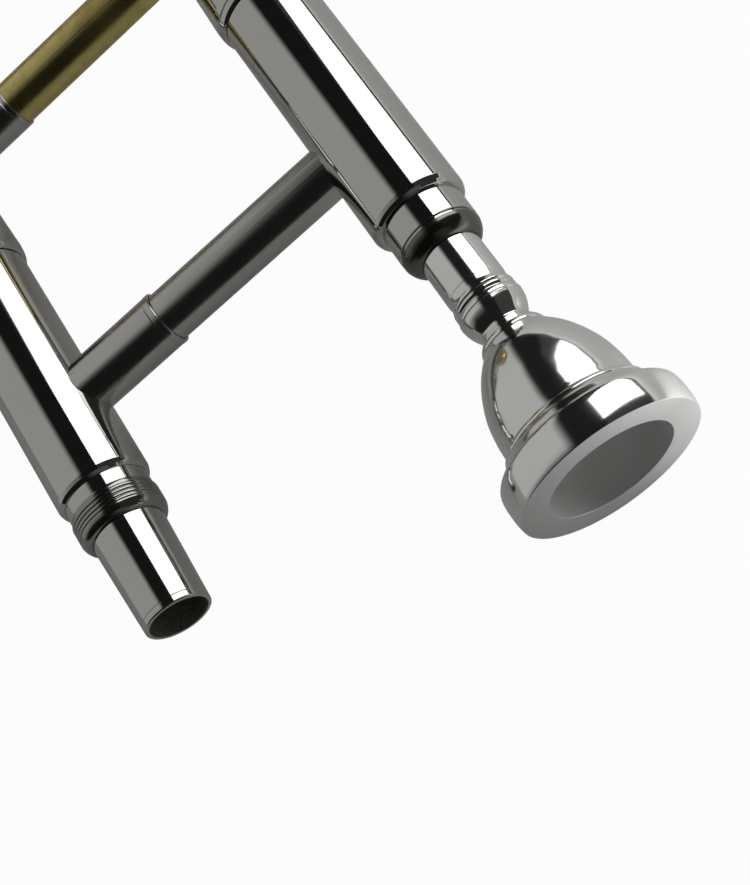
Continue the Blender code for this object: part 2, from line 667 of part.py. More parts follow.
def build_outer_slide():
    for side, side_y in SIDES.items():
        tube("outer_tube_" + side, OUTER_REAR, OUTER_FRONT, OUTER_TUBE_RADIUS, OUTER_BORE_RADIUS,
             NICKEL, OUTER, location=(0.0, side_y, 0.0))
        end_sleeve("end_sleeve_" + side, side_y)
        ferrule("bow_ferrule_" + side, OUTER_FRONT, BOW_FERRULE_LENGTH, BOW_FERRULE_BORE,
                BOW_FERRULE_WALL, NICKEL, OUTER, side_y)
    build_outer_brace()
    build_bow()
    build_water_key()


def build_outer_brace():
    """Brass brace tube between the end sleeves, with a nickel sleeve on the tenon side."""
    reach = 4 * OUTER_BRACE_RADIUS
    saddle_radius = END_SLEEVE_RADIUS + SEAT_GAP
    near = round_cutter("outer_brace_cope_tenon", saddle_radius, 0.0, reach, OUTER_BRACE_X, OUTER)
    far = round_cutter("outer_brace_cope_mouthpiece", saddle_radius, TUBE_SPACING, reach,
                       OUTER_BRACE_X, OUTER)
    place = {"rotation": ALONG_Y, "location": (OUTER_BRACE_X, 0.0, 0.0)}
    brace = tube("outer_brace_tube", TUBE_SPACING, OUTER_SLEEVE_END - SLEEVE_OVERLAP,
                 OUTER_BRACE_RADIUS, OUTER_BRACE_BORE, BRASS, OUTER, **place)
    combine(brace, far)
    sleeve_bore = OUTER_BRACE_RADIUS + SOLDER_GAP
    sleeve = tube("outer_brace_sleeve", OUTER_SLEEVE_END, 0.0, sleeve_bore + OUTER_SLEEVE_WALL,
                  sleeve_bore, NICKEL, OUTER, **place)
    combine(sleeve, near)


def build_bow():
    """The bow with its water hole, and the rubber bumper in its holder at the tip."""
    points = u_path(BOW_CENTRE_X, BOW_STRAIGHT, TUBE_SPACING, -1.0, 12)
    bow = bent_tube("slide_bow", points, OUTER_TUBE_RADIUS, OUTER_TUBE_WALL, NICKEL, OUTER)
    hole = rod("water_hole", NIPPLE_HEIGHT + OUTER_TUBE_RADIUS, 0.0, NIPPLE_BORE, None, OUTER,
               segments=SMALL_SEGMENTS, location=(NIPPLE_X, 0.0, 0.0), rotation=AGAINST_Y)
    combine(bow, hole)
    middle = TUBE_SPACING / 2
    holder_front = BOW_TIP - BUMPER_HOLDER_LENGTH
    socket = holder_front + BUMPER_SOCKET
    edge = BUMPER_HOLDER_RADIUS - BUMPER_RADIUS - SEAT_GAP
    holder = turned("bumper_holder",
                    [(BOW_TIP + OUTER_TUBE_RADIUS, 0.0),
                     (BOW_TIP + OUTER_TUBE_RADIUS, BUMPER_HOLDER_RADIUS - edge),
                     (BOW_TIP, BUMPER_HOLDER_RADIUS),
                     (holder_front + edge, BUMPER_HOLDER_RADIUS),
                     (holder_front, BUMPER_RADIUS + SEAT_GAP + edge / 2),
                     (holder_front, BUMPER_RADIUS + SEAT_GAP),
                     (socket, BUMPER_RADIUS + SEAT_GAP), (socket, 0.0)],
                    NICKEL, OUTER, SMALL_SEGMENTS, (0.0, middle, 0.0))
    around = curve_mesh("bumper_holder_cope",
                        path_curve("bumper_holder_cope", points, OUTER_TUBE_RADIUS + SEAT_GAP,
                                   caps=True), None, OUTER)
    combine(holder, around)
    rear = socket - SEAT_GAP
    round_end = arc(BUMPER_TIP + BUMPER_RADIUS / 2, 0.0, BUMPER_RADIUS / 2, BUMPER_RADIUS, 90, 180, 4)
    round_end[-1] = (BUMPER_TIP, 0.0)
    turned("bow_bumper", [(rear, 0.0), (rear, BUMPER_RADIUS)] + round_end, RUBBER, OUTER,
           SMALL_SEGMENTS, (0.0, middle, 0.0))


def build_water_key():
    """Nipple, saddle with two ears, hinge screw, spring, lever and cork of the water key."""
    nipple = tube("water_key_nipple", OUTER_TUBE_RADIUS + NIPPLE_HEIGHT, 0.0, NIPPLE_RADIUS,
                  NIPPLE_BORE, NICKEL, OUTER, segments=SMALL_SEGMENTS,
                  location=(NIPPLE_X, 0.0, 0.0), rotation=AGAINST_Y)
    leg = round_cutter("water_key_cope", OUTER_TUBE_RADIUS + SEAT_GAP, 0.0, 2 * BOW_STRAIGHT,
                       KEY_PIVOT_X, OUTER)
    combine(nipple, leg)
    half_ears = KEY_EAR_GAP / 2 + KEY_EAR_THICKNESS
    half_length = KEY_SADDLE_LENGTH / 2
    ear_top = KEY_PIVOT_Y - KEY_EAR_TOP
    saddle = block("water_key_saddle", (KEY_PIVOT_X - half_length, ear_top, -half_ears),
                   (KEY_PIVOT_X + half_length, -OUTER_TUBE_RADIUS / 2, half_ears), NICKEL, OUTER)
    slot = block("water_key_slot", (KEY_PIVOT_X - 2 * half_length, 2 * ear_top, -KEY_EAR_GAP / 2),
                 (KEY_PIVOT_X + 2 * half_length, KEY_PIVOT_Y + KEY_EYE_RADIUS + 2 * SEAT_GAP,
                  KEY_EAR_GAP / 2), None, OUTER)
    pin_length = KEY_EAR_GAP + 2 * KEY_EAR_THICKNESS
    pin_hole = rod("water_key_pin_hole", pin_length, -pin_length, KEY_SCREW_RADIUS + RUNNING_GAP,
                   None, OUTER, segments=SMALL_SEGMENTS,
                   location=(KEY_PIVOT_X, KEY_PIVOT_Y, 0.0), rotation=ALONG_Z)
    for cutter in (leg, slot, pin_hole):
        combine(saddle, cutter)
    top = half_ears + SEAT_GAP
    turned("water_key_screw",
           [(top + KEY_SCREW_HEAD_HEIGHT, 0.0), (top + KEY_SCREW_HEAD_HEIGHT, KEY_SCREW_HEAD_RADIUS),
            (top, KEY_SCREW_HEAD_RADIUS), (top, KEY_SCREW_RADIUS), (-half_ears, KEY_SCREW_RADIUS),
            (-half_ears, 0.0)], STEEL, OUTER, SMALL_SEGMENTS,
           (KEY_PIVOT_X, KEY_PIVOT_Y, 0.0), ALONG_Z)
    build_key_spring()
    pivot = empty("water_key", OUTER, (KEY_PIVOT_X, KEY_PIVOT_Y, 0.0))
    build_key_lever(pivot)


def build_key_spring():
    """Torsion spring round the hinge screw, beside the lever's eye."""
    start = KEY_WIDTH / 2 + SEAT_GAP + SPRING_WIRE
    room = KEY_EAR_GAP / 2 - SEAT_GAP - SPRING_WIRE - start
    steps = SPRING_STEPS * SPRING_TURNS
    points = [(-SPRING_LEG, SPRING_RADIUS, start)]
    for i in range(steps + 1):
        angle = math.pi / 2 + 2 * math.pi * i / SPRING_STEPS
        points.append((SPRING_RADIUS * math.cos(angle), SPRING_RADIUS * math.sin(angle),
                       start + room * i / steps))
    points.append((SPRING_LEG / 2, SPRING_RADIUS, start + room))
    points = [(KEY_PIVOT_X + x, KEY_PIVOT_Y + y, z) for x, y, z in points]
    curve = path_curve("water_key_spring", points, SPRING_WIRE, caps=True, resolution=1)
    return curve_mesh("water_key_spring", curve, STEEL, OUTER)


def build_key_lever(pivot):
    """Lever with its eye on the hinge, a cup over the nipple and a touch along the bow."""
    cork_back = KEY_CORK_Y - KEY_CORK_THICKNESS - SEAT_GAP - KEY_PIVOT_Y
    strip = KEY_THICKNESS
    reach = KEY_PIVOT_FROM_NIPPLE + KEY_CORK_RADIUS
    eye = [(KEY_EYE_RADIUS * math.cos(math.radians(a)), KEY_EYE_RADIUS * math.sin(math.radians(a)))
           for a in range(20, 161, 28)]
    outline = [(reach, cork_back), (KEY_PIVOT_FROM_NIPPLE - KEY_CORK_RADIUS, cork_back)]
    outline += eye
    outline += [(-KEY_REACH * x, KEY_TOUCH_RISE * y) for x, y in KEY_TOUCH_TOP]
    outline += [(-KEY_REACH * x, KEY_TOUCH_RISE * y - strip) for x, y in KEY_TOUCH_UNDER]
    outline += [(-KEY_EYE_RADIUS, -KEY_EYE_RADIUS), (KEY_EYE_RADIUS, cork_back - strip),
                (reach, cork_back - strip)]
    lever = flat_mesh("water_key_lever", outline, KEY_WIDTH, NICKEL, pivot)
    cup = tube("water_key_cup", -cork_back + strip, -cork_back + SEAT_GAP / 2, KEY_CORK_RADIUS,
               KEY_CUP_VENT_RADIUS, None, pivot, segments=SMALL_SEGMENTS,
               location=(KEY_PIVOT_FROM_NIPPLE, 0.0, 0.0), rotation=AGAINST_Y)
    combine(lever, cup, "UNION")
    eye_hole = rod("water_key_eye_hole", KEY_WIDTH, -KEY_WIDTH, KEY_SCREW_RADIUS + RUNNING_GAP, None,
                   pivot, segments=SMALL_SEGMENTS, rotation=ALONG_Z)
    combine(lever, eye_hole)
    cork_face = KEY_PIVOT_Y - KEY_CORK_Y
    rod("water_key_cork", cork_face + KEY_CORK_THICKNESS, cork_face, KEY_CORK_RADIUS, CORK, pivot,
        segments=SMALL_SEGMENTS, location=(KEY_PIVOT_FROM_NIPPLE, 0.0, 0.0), rotation=AGAINST_Y)


def mouthpiece_outline():
    """Outside from the rim face to the shank's tip, then the backbore, throat and cup back."""
    rim_rear = RIM_FACE - RIM_HEIGHT
    outline = arc(RIM_FACE - RIM_EDGE, RIM_RADIUS - RIM_EDGE, RIM_EDGE, RIM_EDGE, 0, 90, 3)
    outline += arc(rim_rear + RIM_SHOULDER, RIM_RADIUS - RIM_SHOULDER, RIM_SHOULDER, RIM_SHOULDER,
                   90, 180, 4)
    outline.append((rim_rear, CUP_OUTER_RADIUS))
    centre = CUP_OUTER_RADIUS - CUP_DOME_RADIUS
    for i in range(1, 6):
        back = CUP_DOME_LENGTH * i / 5
        outline.append((rim_rear - back, centre + math.sqrt(CUP_DOME_RADIUS ** 2 - back ** 2)))
    outline += [(RIM_FACE - behind, radius) for behind, radius in NECK_PROFILE]
    outline += [(RECEIVER_END, SHANK_RADIUS), (shank_tip(), SHANK_TIP_RADIUS)]
    throat = RIM_FACE - CUP_DEPTH
    outline += [(shank_tip(), BACKBORE_RADIUS), (throat - THROAT_LENGTH, THROAT_RADIUS)]
    widening = CUP_RADIUS - THROAT_RADIUS
    outline += [(throat + CUP_DEPTH * depth, THROAT_RADIUS + widening * share)
                for depth, share in CUP_PROFILE]
    return outline


def build_mouthpiece():
    holder = empty("mouthpiece_axis", SLIDE, (0.0, TUBE_SPACING, 0.0))
    turned("mouthpiece", mouthpiece_outline(), SILVER, holder, MOUTHPIECE_SEGMENTS)


def bell_radius(along):
    """Flare law: the radius falls as a power of the distance from just in front of the rim."""
    ratio = math.log(BELL_RADIUS / BELL_STEM_RADIUS)
    power = ratio / math.log((FLARE_LENGTH + BELL_FLARE_DEPTH) / BELL_FLARE_DEPTH)
    reach = min(along, FLARE_LENGTH)
    return BELL_RADIUS * ((reach + BELL_FLARE_DEPTH) / BELL_FLARE_DEPTH) ** -power


def bell_outline():
    """Outside of the bell from its stem to the rim's bead, then the inside back."""
    stations = [FLARE_LENGTH * (i / BELL_STATIONS) ** BELL_STATION_POWER for i in range(BELL_STATIONS, 0, -1)]
    stations.insert(0, BELL_LENGTH)
    outside = [(along, bell_radius(along)) for along in stations]
    inside = []
    for along, radius in reversed(outside):
        step = BELL_SLOPE_STEP
        slope = (bell_radius(along + step) - bell_radius(along - step)) / (2 * step)
        length = math.hypot(1.0, slope)
        inside.append((along + slope * BELL_WALL / length, radius - BELL_WALL / length))
    bead = arc(0.0, BELL_RADIUS, RIM_BEAD_RADIUS, RIM_BEAD_RADIUS,
               RIM_BEAD_FROM_DEG, RIM_BEAD_TO_DEG, 5)
    return outside + bead + inside


def build_bell():
    """Bell with its rolled rim, neckpipe, receiver with lock nut, and the two outer tuning legs."""
    neck = (0.0, BELL_OFFSET, 0.0)
    turned("bell", bell_outline(), BRASS, BELL, BELL_SEGMENTS)
    ferrule("bell_ferrule", LEG_FRONT, FERRULE_LENGTH, BELL_STEM_RADIUS + SOLDER_GAP, FERRULE_WALL,
            NICKEL, BELL, 0.0, BELL_SEGMENTS)
    tube("tuning_leg_bell_side", LEG_REAR, LEG_FRONT, BELL_LEG_RADIUS, BELL_LEG_BORE, NICKEL, BELL)
    tube("tuning_leg_neckpipe_side", LEG_REAR, LEG_FRONT, NECK_LEG_RADIUS, NECK_LEG_BORE, NICKEL,
         BELL, location=neck)
    socket = BELL_RECEIVER_FRONT + BELL_SOCKET_DEPTH
    tube("neckpipe", BELL_LENGTH, socket + SEAT_GAP, NECKPIPE_RADIUS, NECKPIPE_RADIUS - NECKPIPE_WALL,
         BRASS, BELL, location=neck)
    ferrule("neckpipe_ferrule", LEG_FRONT, FERRULE_LENGTH, NECK_LEG_RADIUS + SOLDER_GAP, FERRULE_WALL,
            NICKEL, BELL, BELL_OFFSET)
    build_bell_receiver(neck, socket)
    body_brace("front_body_brace", FRONT_BRACE_X)
    body_brace("rear_body_brace", REAR_BRACE_X)


def build_bell_receiver(neck, socket):
    """Tapered socket for the tenon, and the nut held on it by a collar."""
    mouth_radius = TENON_END_RADIUS + TENON_TAPER * TENON_LENGTH + SOLDER_GAP
    front = BELL_RECEIVER_FRONT
    rear = front + BELL_RECEIVER_LENGTH
    collar = front + BELL_RECEIVER_COLLAR_SETBACK
    collar_rear = collar + BELL_RECEIVER_COLLAR_LENGTH
    pipe_seat = NECKPIPE_RADIUS + SOLDER_GAP
    outline = [(rear, pipe_seat + BELL_WALL), (rear - BELL_SOCKET_DEPTH / 3, BELL_RECEIVER_RADIUS),
               (collar_rear, BELL_RECEIVER_RADIUS), (collar_rear, BELL_RECEIVER_COLLAR_RADIUS),
               (collar, BELL_RECEIVER_COLLAR_RADIUS), (collar, BELL_RECEIVER_RADIUS),
               (front, BELL_RECEIVER_RADIUS), (front, mouth_radius),
               (socket, TENON_END_RADIUS + SOLDER_GAP), (socket, pipe_seat), (rear, pipe_seat)]
    turned("bell_receiver", outline, NICKEL, BELL, BARREL_SEGMENTS, neck)
    nut_front = front - LOCK_NUT_NOSE
    cavity_front = front - SEAT_GAP
    cavity_rear = collar_rear + SEAT_GAP
    nut_rear = cavity_rear + LOCK_NUT_LIP
    cavity_radius = BELL_RECEIVER_COLLAR_RADIUS + SEAT_GAP
    edge = (LOCK_NUT_RADIUS - cavity_radius) / 2
    outline = [(nut_rear, LOCK_NUT_RADIUS - edge), (nut_rear - edge, LOCK_NUT_RADIUS),
               (nut_front + edge, LOCK_NUT_RADIUS), (nut_front, LOCK_NUT_RADIUS - edge),
               (nut_front, THREAD_RADIUS + SOLDER_GAP), (cavity_front, THREAD_RADIUS + SOLDER_GAP),
               (cavity_front, cavity_radius), (cavity_rear, cavity_radius),
               (cavity_rear, BELL_RECEIVER_RADIUS + SEAT_GAP),
               (nut_rear, BELL_RECEIVER_RADIUS + SEAT_GAP)]
    turning = empty("bell_lock_nut_axis", BELL, neck)
    turned("bell_lock_nut", outline, NICKEL, turning, BARREL_SEGMENTS)


def brace_between(name, along, low_radius, high_radius, parent):
    """A turned strut across the bell section with a spread foot coped to the tube at each end."""
    foot = BODY_BRACE_FOOT_LENGTH
    low = low_radius * BODY_BRACE_FOOT_REACH
    high = BELL_OFFSET - high_radius * BODY_BRACE_FOOT_REACH
    outline = [(high, 0.0), (high, BODY_BRACE_FOOT_RADIUS),
               (BELL_OFFSET - high_radius, BODY_BRACE_FOOT_RADIUS),
               (BELL_OFFSET - high_radius - foot, BODY_BRACE_RADIUS),
               (low_radius + foot, BODY_BRACE_RADIUS), (low_radius, BODY_BRACE_FOOT_RADIUS),
               (low, BODY_BRACE_FOOT_RADIUS), (low, 0.0)]
    brace = turned(name, outline, BRASS, parent, SMALL_SEGMENTS, (along, 0.0, 0.0), ALONG_Y)
    reach = 4 * BODY_BRACE_FOOT_RADIUS
    combine(brace, round_cutter(name + "_cope_low", low_radius + SEAT_GAP, 0.0, reach, along, parent))
    combine(brace, round_cutter(name + "_cope_high", high_radius + SEAT_GAP, BELL_OFFSET, reach,
                                along, parent))
    return brace


def body_brace(name, along):
    widest = bell_radius(along - BODY_BRACE_FOOT_RADIUS)
    return brace_between(name, along, widest, NECKPIPE_RADIUS, BELL)


def build_tuning_slide():
    """Tuning bow with its two inner legs, ferrules, brace and counterweight."""
    slide = empty("tuning_slide", BELL)
    leg_front = LEG_FRONT + TUNING_END_ROOM + TUNING_PULLED
    straight = CROOK_STRAIGHT
    points = u_path(CROOK_CENTRE_X, straight, BELL_OFFSET, 1.0, 14)
    smallest = NECKPIPE_RADIUS
    largest = BELL_INNER_LEG_RADIUS
    count = len(points) - 1
    scales = [(largest + (smallest - largest) * i / count) / largest for i in range(count + 1)]
    bent_tube("tuning_bow", points, largest, LEG_WALL, BRASS, slide, scales)
    joint = CROOK_CENTRE_X - straight
    legs = (("bell_side", 0.0, largest), ("neckpipe_side", BELL_OFFSET, smallest))
    for side, side_y, radius in legs:
        tube("tuning_inner_leg_" + side, joint - SEAT_GAP, leg_front, radius, radius - LEG_WALL,
             NICKEL, slide, location=(0.0, side_y, 0.0))
        ferrule("tuning_ferrule_" + side, joint, FERRULE_LENGTH, radius + SOLDER_GAP, FERRULE_WALL,
                NICKEL, slide, side_y)
    along = joint + FERRULE_LENGTH / 2 + BODY_BRACE_FOOT_RADIUS + SEAT_GAP
    brace_between("tuning_brace", along, largest, smallest, slide)
    build_counterweight(along, slide)


def build_counterweight(along, slide):
    """Drum-shaped counterweight threaded on the middle of the tuning brace."""
    middle = BELL_OFFSET / 2
    half = WEIGHT_LENGTH / 2
    edge = WEIGHT_EDGE
    outline = [(half, 0.0), (half, WEIGHT_RADIUS - edge), (half - edge, WEIGHT_RADIUS),
               (edge - half, WEIGHT_RADIUS), (-half, WEIGHT_RADIUS - edge), (-half, 0.0)]
    weight = turned("counterweight", outline, BRASS, slide, TUBE_SEGMENTS, (along, middle, 0.0))
    hole = rod("counterweight_hole", 2 * WEIGHT_RADIUS, -2 * WEIGHT_RADIUS,
               BODY_BRACE_RADIUS + SEAT_GAP, None, slide, segments=SMALL_SEGMENTS,
               location=(along, middle, 0.0), rotation=ALONG_Y)
    combine(weight, hole)


build_inner_slide()
build_slide_lock()
build_outer_slide()
build_mouthpiece()
build_bell()
build_tuning_slide()
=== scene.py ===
"""Looks of the tenor trombone taken apart: the hand slide with its mouthpiece, and the bell section."""
import math
import bpy
from mathutils import Matrix, Vector


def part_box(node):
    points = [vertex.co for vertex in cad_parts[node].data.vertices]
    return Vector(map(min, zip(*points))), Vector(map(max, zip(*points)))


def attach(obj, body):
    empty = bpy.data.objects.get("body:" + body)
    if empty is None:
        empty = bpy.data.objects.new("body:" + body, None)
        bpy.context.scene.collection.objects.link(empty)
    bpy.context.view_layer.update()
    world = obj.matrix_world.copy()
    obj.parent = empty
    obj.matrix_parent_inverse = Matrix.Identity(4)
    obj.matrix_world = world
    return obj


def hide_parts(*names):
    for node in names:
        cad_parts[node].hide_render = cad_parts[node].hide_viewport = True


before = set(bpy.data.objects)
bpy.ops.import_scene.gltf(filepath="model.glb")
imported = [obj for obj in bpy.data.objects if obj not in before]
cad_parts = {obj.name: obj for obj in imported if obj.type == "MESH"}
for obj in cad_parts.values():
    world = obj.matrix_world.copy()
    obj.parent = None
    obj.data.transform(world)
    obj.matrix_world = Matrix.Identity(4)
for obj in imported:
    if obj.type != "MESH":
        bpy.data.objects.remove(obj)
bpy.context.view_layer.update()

# Cork barrels: the two thick tubes at the player's end, each holding a bumper cork. They are spun and drawn
# brass tube, rounded over a soft shoulder behind, polished and nickel plated to a dark mirror.


def set_inputs(tree, node, inputs):
    """Sets a node's inputs to values, or links them to a socket or to a node's first output."""
    for key, value in inputs.items():
        if isinstance(value, bpy.types.Node):
            value = value.outputs[0]
        if isinstance(value, bpy.types.NodeSocket):
            tree.links.new(value, node.inputs[key])
        else:
            node.inputs[key].default_value = value


def add_node(tree, kind, inputs=None, **settings):
    """Adds one node, makes its settings, and sets or links its inputs."""
    made = tree.nodes.new(kind)
    for key, value in settings.items():
        setattr(made, key, value)
    set_inputs(tree, made, inputs or {})
    return made


def linear(hex_colour):
    """A colour written as sRGB hex, as the linear light a shader works in."""
    shares = [int(hex_colour[i:i + 2], 16) / 255 for i in (1, 3, 5)]
    return [c / 12.92 if c <= 0.04045 else ((c + 0.055) / 1.055) ** 2.4 for c in shares] + [1.0]


def new_material(name):
    """A new material, its node tree, its shader, and the place on the piece that patterns follow."""
    material = bpy.data.materials.new(name)
    material.use_nodes = True
    tree = material.node_tree
    place = add_node(tree, "ShaderNodeTexCoord").outputs["Object"]
    return material, tree, tree.nodes["Principled BSDF"], place


def polished_metal(name, colour, deep_colour, roughness, hairlines):
    """Buffed plate: cloudy buffing marks 20 mm across, and hairlines 0.1 mm wide from wiping."""
    material, tree, shader, place = new_material(name)
    clouds = add_node(tree, "ShaderNodeTexNoise", {"Vector": place, "Scale": 50.0, "Detail": 4.0})
    drawn_out = add_node(tree, "ShaderNodeMapping",
                         {"Vector": place, "Rotation": (0.3, 0.2, 0.5),
                          "Scale": (260.0, 9000.0, 7000.0)})
    wiping = add_node(tree, "ShaderNodeTexNoise", {"Vector": drawn_out, "Scale": 1.0, "Detail": 2.0})
    lines = add_node(tree, "ShaderNodeMapRange", {"Value": wiping, "From Min": 0.58, "From Max": 0.75})
    dulled = add_node(tree, "ShaderNodeMapRange",
                      {"Value": clouds, "From Min": 0.3, "From Max": 0.7,
                       "To Min": roughness * 0.7, "To Max": roughness * 1.3})
    scuffed = add_node(tree, "ShaderNodeMath", {0: lines, 1: 0.05 * hairlines, 2: dulled},
                       operation="MULTIPLY_ADD")
    tinted = add_node(tree, "ShaderNodeMix",
                      {"Factor": clouds, "A": linear(colour), "B": linear(deep_colour)},
                      data_type="RGBA")
    relief = add_node(tree, "ShaderNodeBump", {"Height": lines,
                                               "Strength": hairlines, "Distance": 0.000002})
    set_inputs(tree, shader, {"Metallic": 1.0, "Base Color": tinted.outputs["Result"],
                              "Roughness": scuffed, "Normal": relief})
    return material


def round_corners(corners, closed):
    """The points of an outline whose corners are (along, radius) in millimetres, or those and the
    radius of a rounding."""
    points = []
    for i, corner in enumerate(corners):
        here = Vector(corner[:2])
        rounding = corner[2] if len(corner) > 2 else 0
        at_end = not closed and i in (0, len(corners) - 1)
        if rounding == 0 or at_end:
            points.append(here)
            continue
        back = Vector(corners[i - 1][:2]) - here
        onward = Vector(corners[(i + 1) % len(corners)][:2]) - here
        half = back.angle(onward) / 2
        if half > math.radians(89):
            points.append(here)
            continue
        reach = min(rounding / math.tan(half), 0.49 * back.length, 0.49 * onward.length)
        size = reach * math.tan(half)
        middle = here + (back.normalized() + onward.normalized()).normalized() * size / math.sin(half)
        start = here + back.normalized() * reach - middle
        sweep = start.angle_signed(here + onward.normalized() * reach - middle)
        parts = max(3, math.ceil(abs(math.degrees(sweep)) / 12))
        for k in range(parts + 1):
            a = -sweep * k / parts
            points.append(middle + Vector((start.x * math.cos(a) - start.y * math.sin(a),
                                           start.x * math.sin(a) + start.y * math.cos(a))))
    return points


def start_piece(name):
    """Names the primitive just added, and opens it for editing with all of it selected."""
    piece = bpy.context.object
    piece.name = piece.data.name = name
    bpy.ops.object.mode_set(mode="EDIT")
    bpy.ops.mesh.select_all(action="SELECT")
    return piece


def face_outwards():
    """Turns every face of the piece that is being edited to the outside."""
    bpy.ops.mesh.select_all(action="SELECT")
    bpy.ops.mesh.normals_make_consistent(inside=False)


def modify(piece, kind, **settings):
    """Adds one modifier to the active piece, makes its settings, and applies it."""
    bpy.ops.object.modifier_add(type=kind)
    modifier = piece.modifiers[-1]
    for key, value in settings.items():
        setattr(modifier, key, value)
    bpy.ops.object.modifier_apply(modifier=modifier.name)


def shade(piece, large_lead=True):
    """Shades a piece smooth up to 40 degrees, and may let its large faces lead the shading."""
    bpy.ops.object.shade_smooth_by_angle(angle=math.radians(40.0))
    if large_lead:
        modify(piece, "WEIGHTED_NORMAL", keep_sharp=True)


def settle(piece, place, large_lead=True):
    """Ends the editing of a piece, shades it, and lays it in metres at its place."""
    bpy.ops.object.mode_set(mode="OBJECT")
    shade(piece, large_lead)
    piece.data.transform(place @ Matrix.Scale(0.001, 4))
    return piece


def turn(name, corners, place, steps=96, closed=True, large_lead=True):
    """Turns an outline about the X axis on the lathe. A closed outline makes a hollow piece."""
    points = round_corners(corners, closed)
    bpy.ops.mesh.primitive_plane_add(size=0.1)
    piece = start_piece(name)
    bpy.ops.mesh.merge(type="CENTER")
    bpy.ops.transform.translate(value=(points[0].x, 0.0, points[0].y))
    before = points[0]
    for point in points[1:] + (points[:1] if closed else []):
        step = (point.x - before.x, 0.0, point.y - before.y)
        bpy.ops.mesh.extrude_region_move(TRANSFORM_OT_translate={"value": step})
        before = point
    bpy.ops.mesh.select_all(action="SELECT")
    bpy.ops.mesh.spin(steps=steps, angle=2 * math.pi, center=(0, 0, 0), axis=(1, 0, 0))
    bpy.ops.mesh.select_all(action="SELECT")
    bpy.ops.mesh.remove_doubles(threshold=0.0005)
    face_outwards()
    return settle(piece, place, large_lead)


def finished(piece, material, body, slot, *nodes):
    """Gives a piece its material and the body it moves with, and hides the CAD nodes it stands for. The
    slot is not used.
    """
    piece.data.materials.clear()
    piece.data.materials.append(material)
    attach(piece, body)
    if nodes:
        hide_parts(*nodes)
    return piece


def side_place(node):
    """The middle line of one side of the slide, starting from the tenon's end."""
    low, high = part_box(node)
    return Matrix.Translation((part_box("tenon_tube")[1].x, (low.y + high.y) / 2, (low.z + high.z) / 2))


# Mirror nickel: a cool, darkish grey mirror, a little warm where the light is dim.
nickel = polished_metal("bright_nickel_plate", "#c9c8c4", "#c3c2bd", 0.05, 0.08)
tenon_side = side_place("tenon_barrel")
mouth_side = side_place("mouthpiece_barrel")
for side, place, neck in (("tenon", tenon_side, 8.93), ("mouthpiece", mouth_side, 8.44)):
    barrel = turn(side + "_barrel_skin",
                  [(-30.4, neck), (-30.45, 9.1, 0.3), (-31.1, 9.65, 0.5), (-31.9, 9.9, 0.4),
                   (-88.6, 9.9, 0.12), (-88.6, 9.5), (-102.5, 9.5),
                   (-102.5, 9.3), (-32.4, 9.3), (-32.4, neck)], place, 160)
    finished(barrel, nickel, "frame", "nickel_plate", side + "_barrel")

# Front collars and slide lock: a stout ring closes each barrel in front. On the mouthpiece side it
# turns by hand and carries the slide lock's hook. Machined and plated, with fine grooves.
collar_corners = [(-88.9, 9.8), (-88.9, 9.95, 0.05), (-89.3, 10.35, 0.4),
                  (-90.3, 10.68, 0.3), (-90.4, 10.5, 0.04), (-90.6, 10.5, 0.04),
                  (-90.7, 10.72, 0.12), (-92.2, 10.8, 1.2), (-99.7, 10.5, 0.1),
                  (-99.8, 10.35, 0.05), (-100.0, 10.35, 0.05), (-100.1, 10.5, 0.1),
                  (-102.5, 10.4, 0.9), (-102.5, 9.8, 0.1)]
collar = turn("tenon_collar_ring", collar_corners, tenon_side, 160)
finished(collar, nickel, "frame", "nickel_plate", "tenon_collar")
lock_ring = turn("slide_lock_turning_ring", collar_corners, mouth_side, 160)
finished(lock_ring, nickel, "slide_lock", "nickel_plate")


def lay_block(name, low, high, place, rounding):
    """A filed bar between two corners, in millimetres, with its edges broken."""
    bpy.ops.mesh.primitive_cube_add(size=1.0)
    piece = start_piece(name)
    size = [b - a for a, b in zip(low, high)]
    bpy.ops.transform.resize(value=size)
    bpy.ops.transform.translate(value=[(a + b) / 2 for a, b in zip(low, high)])
    bpy.ops.mesh.bevel(offset=rounding, segments=3)
    return settle(piece, place)


def cut(piece, other, operation="DIFFERENCE"):
    """Cuts a piece with another, or joins them into one, and takes the other away."""
    bpy.ops.object.select_all(action="DESELECT")
    bpy.context.view_layer.objects.active = piece
    piece.select_set(True)
    modify(piece, "BOOLEAN", operation=operation, solver="EXACT", object=other)
    bpy.data.objects.remove(other, do_unlink=True)
    return piece


def turned(place, degrees, axis):
    """A place turned about one of its own axes."""
    return place @ Matrix.Rotation(math.radians(degrees), 4, axis)


# The hook stands 58 degrees round from the top, towards the water key's side, with the lock open.
hook_place = turned(mouth_side, -58.0, "X")
arm = lay_block("slide_lock_hook", (-109.9, -1.1, 10.1), (-98.9, 1.1, 10.8), hook_place, 0.12)
finger = lay_block("slide_lock_finger", (-109.9, 0.5, 10.1), (-108.3, 3.3, 10.8), hook_place, 0.12)
cut(arm, finger, "UNION")
finished(arm, nickel, "slide_lock", "nickel_plate", "slide_lock_ring")

# Inner slide tubes and bumper corks: thin drawn tubes of nickel silver, hard chromed, with their
# front ends swelled into stockings that the outer slide runs on. They show when the slide is out.
chrome = polished_metal("hard_chrome", "#cfd1d3", "#c6c9cc", 0.03, 0.4)
for side, place, rear in (("tenon_side", tenon_side, -20.0), ("mouthpiece_side", mouth_side, -47.1)):
    inner = turn("inner_tube_drawn_" + side,
                 [(rear, 6.5, 0.05), (-611.1, 6.5, 0.3), (-614.1, 6.75, 0.3), (-724.1, 6.75, 0.15),
                  (-724.1, 6.2, 0.1), (rear, 6.2, 0.05)], place)
    finished(inner, chrome, "frame", "nickel_plate", "inner_tube_" + side)


